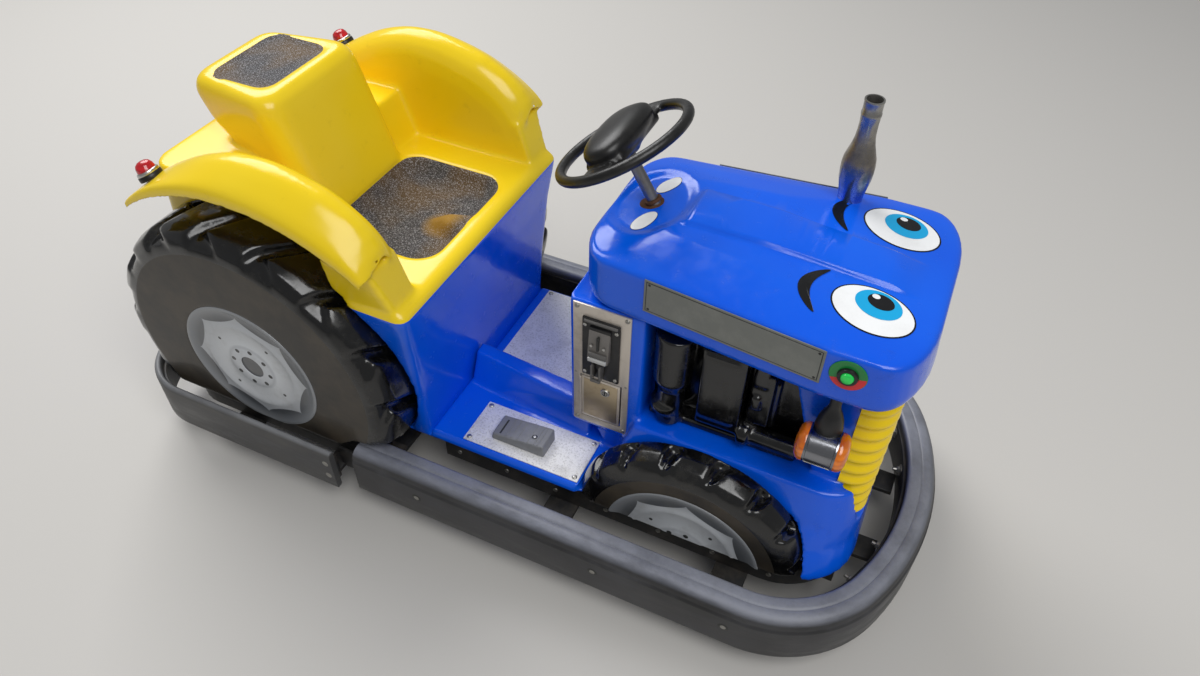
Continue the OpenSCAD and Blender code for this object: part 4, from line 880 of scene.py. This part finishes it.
def oval(made, x, y, half_x, half_y, lift, finish, turn=0.0, bend=0.0):
    """A flat oval in mm on the bonnet; bend curves it into a crescent."""
    part = bmesh.new()
    bmesh.ops.create_circle(part, cap_ends=True, segments=48, radius=1)
    bmesh.ops.inset_region(part, faces=part.faces[:], thickness=0.3)
    bmesh.ops.inset_region(part, faces=[f for f in part.faces if len(f.verts) > 4], thickness=0.3)
    bmesh.ops.poke(part, faces=[f for f in part.faces if len(f.verts) > 4])
    for v in part.verts:
        v.co = Vector((v.co.x * half_x + bend * (v.co.y ** 2), v.co.y * half_y, 0)) * MM
    placed(part, Matrix.Translation((x * MM, y * MM, 0)) @ Matrix.Rotation(math.radians(turn), 4, "Z"))
    lay(part, lift)
    join(made, part, finish)


# Each layer of print lies a little above the one below it
prints = [PRINT_BLACK, PRINT_WHITE, PRINT_CYAN]
for name, y, iris_y, turn in (("eye_print_right", -101, -86, -8), ("eye_print_left", 109, 120, -10)):
    eye = bmesh.new()
    oval(eye, 587, y, 63, 48.5, 0.5, 0, turn)
    oval(eye, 587, y, 60.5, 46, 0.8, 1, turn)
    oval(eye, 592, iris_y, 35, 29, 1.1, 2, turn)
    oval(eye, 594, iris_y + 7, 20, 16, 1.4, 0, turn)
    oval(eye, 585, iris_y + 15, 6, 5, 1.7, 1)
    put_in(name, eye, prints, "car", "wheel_print", sharp=0)
brows = bmesh.new()
for y in (-97, 106):
    oval(brows, 484, y, 9.5, 49, 1.0, 0, 0, 26)
put_in("brow_prints", brows, prints, "car", "wheel_print", sharp=0)
labels = bmesh.new()
for y in (-53, 55):
    oval(labels, 211, y, 15, 28, 0.5, 0, -20)
    oval(labels, 211, y, 14.2, 27.2, 0.8, 1, -20)
put_in("blank_label_prints", labels, prints, "car", "plate_grey", sharp=0)


# Plates on the bonnet's sides: sheet with a pressed border, blank; the dark line along the border's step is
# painted shade

plates = bmesh.new()
slant = math.atan2(SPREAD, SPREAD_RUN)
plate_at = Matrix.Translation((PLATE_X * MM, (bonnet_half(PLATE_X) + 0.2) * MM, PLATE_Z * MM))
for side in SIDES:
    for low, high, round_by, finish in (((0, 0, -32), (288, 1.6, 32), 0.5, 0),
                                        ((3.5, 1.3, -28.5), (284.5, 1.9, 28.5), 0.2, 1),
                                        ((5, 1.5, -27), (283, 2.1, 27), 0.2, 0)):
        part = placed(block(low, high, round_by, 1), plate_at @ Matrix.Rotation(slant, 4, "Z"))
        join(plates, mirrored(part) if side < 0 else part, finish)
put_in("blank_side_plates", plates, [GREY_PLATE, DARK_LINE], "car", "plate_grey", "name_plates")


# Charge lamp: two-coloured blank disc, black bezel and clear lens over a green light

LAMP_AT = (584, -200.2, 626)
lamp = bmesh.new()
stand(lamp, [(0, 0), (27, 0), (27.4, 0.8), (26.6, 1.5), (0, 1.6)], 48, LAMP_AT, RIGHT, 0)
wedge = placed(turned([(0, 1.5), (26.4, 1.5), (26.4, 1.9), (0, 1.9)], 48), towards(LAMP_AT, RIGHT))
join(lamp, split(wedge, (LAMP_AT[0], 0, LAMP_AT[2] - 5), (0.25, 0, -1), keep_front=True), 1)
stand(lamp, [(9, 1.6), (15, 1.6), (15.4, 3), (14.4, 6.4), (12, 7.4), (10, 6.8), (9.4, 5)], 40,
      LAMP_AT, RIGHT, 2)
stand(lamp, [(0, 1.6), (10, 1.6), (10, 6), (8.6, 9.4), (5, 11), (0, 11.4)], 32, LAMP_AT, RIGHT, 3)
put_in("charge_lamp_set", lamp, [PRINT_GREEN, PRINT_RED, BLACK_PLASTIC, GREEN_LENS], "car", "lamp_green",
       "charge_lamp")


# Tail lamps: red dome in a chrome ring on a black base, square to the mudguard's curve

GUARD_X, GUARD_Z, GUARD_R, TAIL_LAMP_Y = -415, 262, 428.7, 273
angle = math.radians(117.5)
lamp_axis = Vector((math.cos(angle), 0, math.sin(angle)))
tail_lamp = bmesh.new()
for side in SIDES:
    place = Vector((GUARD_X, TAIL_LAMP_Y * side, GUARD_Z)) + lamp_axis * GUARD_R
    for rows, finish in (([(0, -3), (21, -3), (21.5, 0), (21, 5), (19, 7), (0, 7)], 2),
                         ([(0, 6), (19.5, 6), (20.4, 8), (19.6, 11), (17.6, 12.4), (0, 12.4)], 1),
                         ([(0, 11), (16.6, 11), (16.6, 14), (15.6, 20), (12.4, 25.4), (7, 28.4),
                           (0, 29.3)], 0)):
        stand(tail_lamp, rows, 40, place, lamp_axis, finish)
put_in("tail_lamp_set", tail_lamp, [RED_LENS, CHROME, BLACK_PLASTIC], "car", "lamp_red", "tail_lamps")


# Side lamps: dark chrome housing with orange domes, a screwed strip, and a cone up to the bonnet

LAMP_X, LAMP_Y, LAMP_Z, CONE_Y = 578, 184, 446, 168
under = math.radians(38)
side_lamp = bmesh.new()
for side in SIDES:
    at = (LAMP_X, LAMP_Y * side, LAMP_Z)
    stand(side_lamp, [(0, -25), (31.4, -25), (32, -24), (32, -21), (30.6, -20), (30.6, 20), (32, 21),
                      (32, 24), (31.4, 25), (0, 25)], 56, at, FORWARD, 0)
    low_out = Vector((0, side * math.cos(under), -math.sin(under)))
    strip_at = Vector(at) + low_out * 30.4
    lengthways = Vector(FORWARD)
    turn_over = Matrix((lengthways, low_out.cross(lengthways), low_out)).transposed().to_4x4()
    join(side_lamp, placed(block((-22, -4.5, 0), (22, 4.5, 1.3), 0.4, 1),
                           Matrix.Translation(strip_at * MM) @ turn_over), 1)
    for off in (-17, 17):
        join(side_lamp, placed(turned([(0, 1), (2.4, 1), (2, 2), (0, 2.2)], 20),
                               Matrix.Translation((strip_at + lengthways * off) * MM) @ turn_over), 3)
    for end in (-1, 1):
        stand(side_lamp, [(0, 24), (31.6, 24), (32, 25.4), (31.8, 30), (29.4, 34.6), (25, 38.2),
                          (17, 40.8), (8, 41.8), (0, 42)], 56, at, (end, 0, 0), 2)
    stand(side_lamp, [(0, 16), (21, 16), (22.4, 24), (22, 34), (19.6, 50), (15, 64), (10.4, 74), (9, 82),
                      (9, 113.6), (0, 113.6)], 40, (LAMP_X, CONE_Y * side, LAMP_Z), UP, 4)
put_in("side_lamp_set", side_lamp, [GLOSS_HOUSING, CHROME, ORANGE_LENS, DARK_LINE, BLACK_PLASTIC], "car",
       "lamp_orange", "side_lamps")


# Exhaust: blown and chromed plastic pipe, open at its top

pipe = bmesh.new()
stand(pipe, [(0, 0), (14.8, 0), (14.8, 13), (20, 13), (20.4, 15), (20, 18), (20.6, 30), (23, 44), (26, 60),
             (27, 74), (27, 86), (25.6, 98), (22, 110), (18.4, 122), (16, 134), (15, 146), (14.8, 160),
             (15.4, 172), (16, 174), (16, 178), (15.2, 179.6), (15.2, 196), (16, 198), (15.6, 200), (13, 200),
             (12.4, 196), (12, 172), (0, 170)], 56, (492, 152, 651), UP)
put_in("exhaust_pipe", pipe, EXHAUST, "car", "chrome_worn", "exhaust")


# Coin box: folded steel panel, door with a pressed face and a round lock, and the steel tin behind it

softened("coin_panel_sheet", 0.5, STAINLESS, "coin_steel", "coin_panel")
LOCK_AT = (200, PANEL_FACE - 0.6, 366)
door = bmesh.new()
join(door, block((153.4, PANEL_FACE, 286), (227, PANEL_FACE + 2.5, 390), 0.5, 2))
join(door, block((158, PANEL_FACE - 0.9, 291), (222.4, PANEL_FACE + 0.6, 385), 0.9, 2), 1)
stand(door, [(1.7, 298.5), (2.9, 298.5), (2.9, 377.5), (1.7, 377.5), (1.7, 298.5)], 24,
      (151.5, PANEL_FACE, 0), UP)
stand(door, [(0, -1), (8.5, -1), (8.5, 3), (7.6, 4.2), (0, 4.2)], 40, LOCK_AT, RIGHT, 2)
stand(door, [(4.4, 4.1), (5.4, 4.1), (5.4, 4.6), (4.4, 4.6), (4.4, 4.1)], 32, LOCK_AT, RIGHT, 3)
# The key slot: a dark bar on the lock, painted shade of the opening
join(door, block((198.8, PANEL_FACE - 5.5, 362.4), (201.2, PANEL_FACE - 4.6, 369.6), 0.1, 1), 3)
put_in("cash_door_sheet", door, [STAINLESS, DOOR_STEEL, SCREW_STEEL, DARK_LINE], "cash_door", "door_steel",
       "cash_door", sharp=35)
put_in("cash_tin", block((156, -150, 288), (224, -112, 386), 3, 2), STAINLESS, "car", "coin_steel",
       "coin_panel", sharp=35)


# Coin acceptor: faceplate with hood and screws, leaning entry block with its slot, coin return's fork

entry = block((171, -179, 452), (209, -164.6, 515), 1.2, 2)
for v in entry.verts:
    if v.co.z > 500 * MM and v.co.y < -170 * MM:
        v.co.y += 8 * MM
acceptor = bmesh.new()
join(acceptor, entry, 1)
# Faceplate, hood and lip, button, pale strip, the fork's two arms and its bar, and the return's cup
for low, high, round_by, finish in (
        ((156, -165.3, 400), (224, -150, 534), 1.4, 0),
        ((160, -168.6, 527), (221, -164.6, 532.4), 1.2, 2),
        ((171, -170, 513), (210, -164.6, 521), 1.2, 0),
        ((173.4, -180.4, 463), (206.6, -177, 473), 0.8, 2),
        ((173.4, -181.6, 452.4), (206.6, -176, 460.6), 1, 5),
        ((179.4, -182.6, 408), (182.6, -164.6, 444), 0.8, 2),
        ((194.4, -182.6, 408), (197.6, -164.6, 444), 0.8, 2),
        ((179.4, -183, 406), (197.6, -178.4, 411), 0.8, 2),
        ((184, -174, 430), (193.4, -164.6, 452), 1.2, 0)):
    join(acceptor, block(low, high, round_by, 2), finish)
# The coin slot: a dark strip on the entry block, painted shade of the opening
join(acceptor, block((188, -178.4, 478), (192, -172, 508), 0.4, 1), 4)
for x in (178, 201):
    stand(acceptor, [(0, 0), (2.6, 0), (2.4, 1.4), (0, 2)], 24, (x, -176.6, 486), (0, -1, 0.1), 3)
# Faceplate screws, each with a dark cone on top as the painted shade of its recess
for x in (161.5, 218.5):
    for z in (519, 408):
        stand(acceptor, [(0, 0), (3.6, 0), (3.3, 1.3), (2, 1.9), (0, 2)], 24, (x, -165.2, z), RIGHT, 3)
        stand(acceptor, [(0, 1.6), (1.4, 1.6), (0, 2.3)], 12, (x, -165.2, z), RIGHT, 4)
put_in("coin_acceptor_unit", acceptor,
       [BLACK_PLASTIC, SMOKED, MID_GREY, SCREW_STEEL, DARK_LINE, PALE_STRIP],
       "car", "acceptor_plastic", "coin_acceptor", sharp=35)


# Footplates with rounded corners, and the ribbed pedal on the right one

softened("footplate_sheets", 0.7, ALUMINIUM, "tread_plate", "footplates")


def pedal_top(x):
    """Height of the pedal's sloping top at a place along it."""
    return HEEL + (TOE - HEEL) * (x - HEEL_X) / PEDAL_RUN


PLATE_TOP = 170.5
pedal = block((-20, -206, PLATE_TOP), (94, -154, TOE))
for v in pedal.verts:
    if v.co.z > HEEL * MM:
        at_heel = v.co.x < 0
        v.co.z = (HEEL if at_heel else TOE) * MM
        v.co.x += (3 if at_heel else -1) * MM
long_edges = [e for e in pedal.edges if abs(e.verts[0].co.x - e.verts[1].co.x) > 50 * MM]
bmesh.ops.subdivide_edges(pedal, edges=long_edges, cuts=1, use_grid_fill=True)
bmesh.ops.bevel(pedal, geom=pedal.edges[:], offset=4.5 * MM, segments=3, profile=0.6, affect="EDGES",
                material=-1)
# Ribs, a dark groove at the heel, and a screw let into a ring; the groove and the hole round the screw are
# dark marks, painted shade
for x, wide in ((12, 1.2), (23, 1.2), (36, 1.2), (58, 1.4), (73, 1.4), (80, 1.4)):
    join(pedal, block((x - wide, -203.4, pedal_top(x) - 2), (x + wide, -156.6, pedal_top(x) + 1), 0.4, 1))
join(pedal, block((-4, -201, pedal_top(-2) - 2), (0, -164, pedal_top(-2) + 0.25), 0.3, 1), 1)
hole = (66, -186, pedal_top(66))
slope = math.atan2(TOE - HEEL, PEDAL_RUN)
square = (-math.sin(slope), 0, math.cos(slope))
stand(pedal, [(5.6, -2), (7, -2), (7, 0.4), (6.2, 0.7), (5.6, 0.3), (5.6, -2)], 32, hole, square)
stand(pedal, [(0, -2), (5.7, -2), (5.7, 0.2), (0, 0.2)], 32, hole, square, 1)
stand(pedal, [(0, 0), (3.4, 0), (3, 1.0), (0, 1.4)], 24, hole, square, 2)
put_in("pedal_block", pedal, [PEDAL, DARK_LINE, SCREW_STEEL], "car", "pedal_rubber", "pedal", sharp=35)


# Screws: pan heads, each with a dark cone on top where its recess is, painted shade, and washers let into the
# rubber

def screw(made, place, along, r, tall):
    """Adds one screw head in mm, with a dark cone on top as the painted shade of its recess."""
    stand(made, [(0, -0.5), (r, -0.5), (r, 0.3 * tall), (0.8 * r, 0.8 * tall), (0.45 * r, tall),
                 (0, tall)], 24, place, along, 0)
    stand(made, [(0, tall - 0.3), (0.3 * r, tall - 0.3), (0, tall + 0.12)], 8, place, along, 1)


heads = [DULL_SCREW, DARK_LINE]
plate_screws = bmesh.new()
for x0, x1, y0, y1 in ((-70, 176, -229, -124), (-116, 150, -8, 229)):
    for x in (x0 + 9, x1 - 9):
        for y in (y0 + 9, y1 - 9):
            screw(plate_screws, (x, y, PLATE_TOP), UP, 5.2, 2.6)
put_in("footplate_screws", plate_screws, [SCREW_STEEL, DARK_LINE], "car", "tread_plate", "footplates")

panel_screws = bmesh.new()
for x, z, r, tall in ((145, 277, 4.2, 2), (145, 551, 4.2, 2), (235, 277, 4.2, 2), (235, 551, 4.2, 2),
                      (143, 395, 2.4, 1.0), (237, 395, 2.4, 1.0)):
    screw(panel_screws, (x, PANEL_FACE, z), RIGHT, r, tall)
put_in("panel_screws", panel_screws, heads, "car", "coin_steel", "coin_panel")

bumper_screws = bmesh.new()
strip_screws = bmesh.new()
for side in SIDES:
    for x in (-102, 268, 515):
        at = (x, (bump_half - 0.95) * side, 115)
        stand(bumper_screws, [(0, 0), (10, 0), (9.4, 0.35), (0, 0.35)], 32, at, (0, side, 0), 1)
        stand(bumper_screws, [(0, 0.3), (5.4, 0.3), (4.6, 0.75), (0, 0.9)], 24, at, (0, side, 0), 0)
    for z in (132, 96):
        at = (-297, (tail_half - 0.95) * side, z)
        stand(strip_screws, [(0, 0), (7, 0), (5.4, 0.75), (0, 0.9)], 24, at, (0, side, 0), 0)
put_in("bumper_screws", bumper_screws, heads, "car", "bumper_rubber", "front_bumper")
put_in("strip_screws", strip_screws, heads, "car", "strip_rubber", "rear_bumper")

label_screws = bmesh.new()
for side in SIDES:
    for along_plate, z in ((9, -24), (9, 24), (279, -24), (279, 24)):
        x = PLATE_X + along_plate * math.cos(slant)
        y = (bonnet_half(PLATE_X) + along_plate * math.sin(slant) + 1.8) * side
        screw(label_screws, (x, y, PLATE_Z + z), (-math.sin(slant), side * math.cos(slant), 0), 2.8, 0.7)
put_in("label_screws", label_screws, [BLACK_PLASTIC, DARK_LINE], "car", "plate_grey", "name_plates")


# Steel angles under the body's edge, of a guessed section, and plates in the gaps between the bumpers. The
# angles are partly a real black strip with screws. Angles and plates also stand as painted shade: a black
# sheet that hides the pale floor where the underside lies in shade

ANGLE = [(0, 101), (5, 101), (5, 141), (44, 141), (44, 147), (0, 147)]
front_sill = [(-112 + 652 * i / 6, 232, 0, 1) for i in range(6)]
front_sill += path_arc(540, 102, 130, 90, 0, 12) + [(670, 50, 1, 0)]
rear_sill = [(-170, 322, 0, 1), (-400, 322, 0, 1)] + path_arc(-620, 242, 80, 90, 180, 8)
sills_and_shade_plates = swept(ANGLE, and_across(front_sill))
join(sills_and_shade_plates, swept(ANGLE, and_across(rear_sill)))
for side in SIDES:
    for x in range(-80, 560, 106):
        stand(sills_and_shade_plates, [(0, 0), (5.2, 0), (4.6, 1.8), (2.4, 2.8), (0, 3)], 20, (x, 231.6 * side, 124),
              (0, side, 0), 1)
    join(sills_and_shade_plates, block((-290, 336 * side - 3, 92), (-236, 336 * side + 3, 146), 1, 1))
put_in("sill_angles", sills_and_shade_plates, [FRAME, DULL_SCREW], "car", "frame_steel", "body_posts")


# Bolts through the nose's steel band: washer, nut and the bolt's end, on the inside

BAND_THICK = 6
band_inside = BOX["bumper_band"][1][0] - BAND_THICK - nose_cx
nose_bolts = bmesh.new()
for angle in (-24, -12, 12, 24):
    turn = math.radians(angle)
    at = (nose_cx + band_inside * math.cos(turn), band_inside * math.sin(turn), 132)
    for rows, steps in (([(0, -1), (11, -1), (11, 1.6), (10, 2), (0, 2)], 32),
                        ([(0, 1.5), (6.6, 1.5), (6.6, 7), (5.8, 8), (0, 8)], 6),
                        ([(0, 7), (3.6, 7), (3.6, 15), (3, 16), (0, 16)], 20)):
        stand(nose_bolts, rows, steps, at, (-math.cos(turn), -math.sin(turn), 0))
put_in("nose_bolts", nose_bolts, heads, "car", "band_steel", "bumper_band", sharp=30)


# Frame, bands, batteries and column tube: edges as rolled and cut steel has them

for mat, slot, widths in (
        (FRAME, "frame_steel", {"frame_rails": 3, "cross_tubes": 3, "outriggers": 1.2, "body_posts": 2.5,
                                "steering_bridge": 2}),
        (BATTERY, "battery_case", {"batteries": 4}),
        (FRAME, "band_steel", {"bumper_band": 0.8, "rear_band": 0.8}),
        (STEEL, "steer_steel", {"column_tube": 1.5})):
    for node, width in widths.items():
        softened(node + "_soft", width, mat, slot, node)


# Floor and light

floor_mesh = bmesh.new()
bmesh.ops.create_grid(floor_mesh, x_segments=1, y_segments=1, size=12)
floor_data = bpy.data.meshes.new("floor")
floor_mesh.to_mesh(floor_data)
floor_mesh.free()
floor = bpy.data.objects.new("floor", floor_data)
bpy.context.scene.collection.objects.link(floor)
floor_data.materials.append(start("pale_floor", Roughness=0.7, Base_Color=srgb("#c9c6c1"))[0])


def soft_light(name, place, aim, size, watts):
    """A square soft light at a place in metres, facing its aim."""
    light = bpy.data.lights.new(name, "AREA")
    light.shape = "RECTANGLE"
    light.size = light.size_y = size
    light.energy = watts
    holder = bpy.data.objects.new(name, light)
    facing = (Vector(aim) - Vector(place)).to_track_quat("-Z", "Y").to_matrix().to_4x4()
    holder.matrix_world = Matrix.Translation(place) @ facing
    bpy.context.scene.collection.objects.link(holder)


soft_light("sky_left", (-2.6, 1.6, 3.6), (0, 0, 0.3), 3.0, 152)
soft_light("sky_front", (2.0, -1.7, 4.0), (0.1, 0, 0.3), 2.6, 105)
world = bpy.data.worlds.new("studio")
world.use_nodes = True
bpy.context.scene.world = world
sky = world.node_tree
path = put(sky, "LightPath").outputs
seen = put(sky, "Math", {0: path["Is Camera Ray"], 1: path["Is Glossy Ray"]}, operation="MAXIMUM").outputs[0]
backdrop = sky.nodes["Background"].inputs
sky.links.new(coated(sky, "#e8ecf2", (seen, "#f2f3f4")), backdrop["Color"])
backdrop["Strength"].default_value = 0.3
bpy.context.scene.view_settings.view_transform = "Standard"
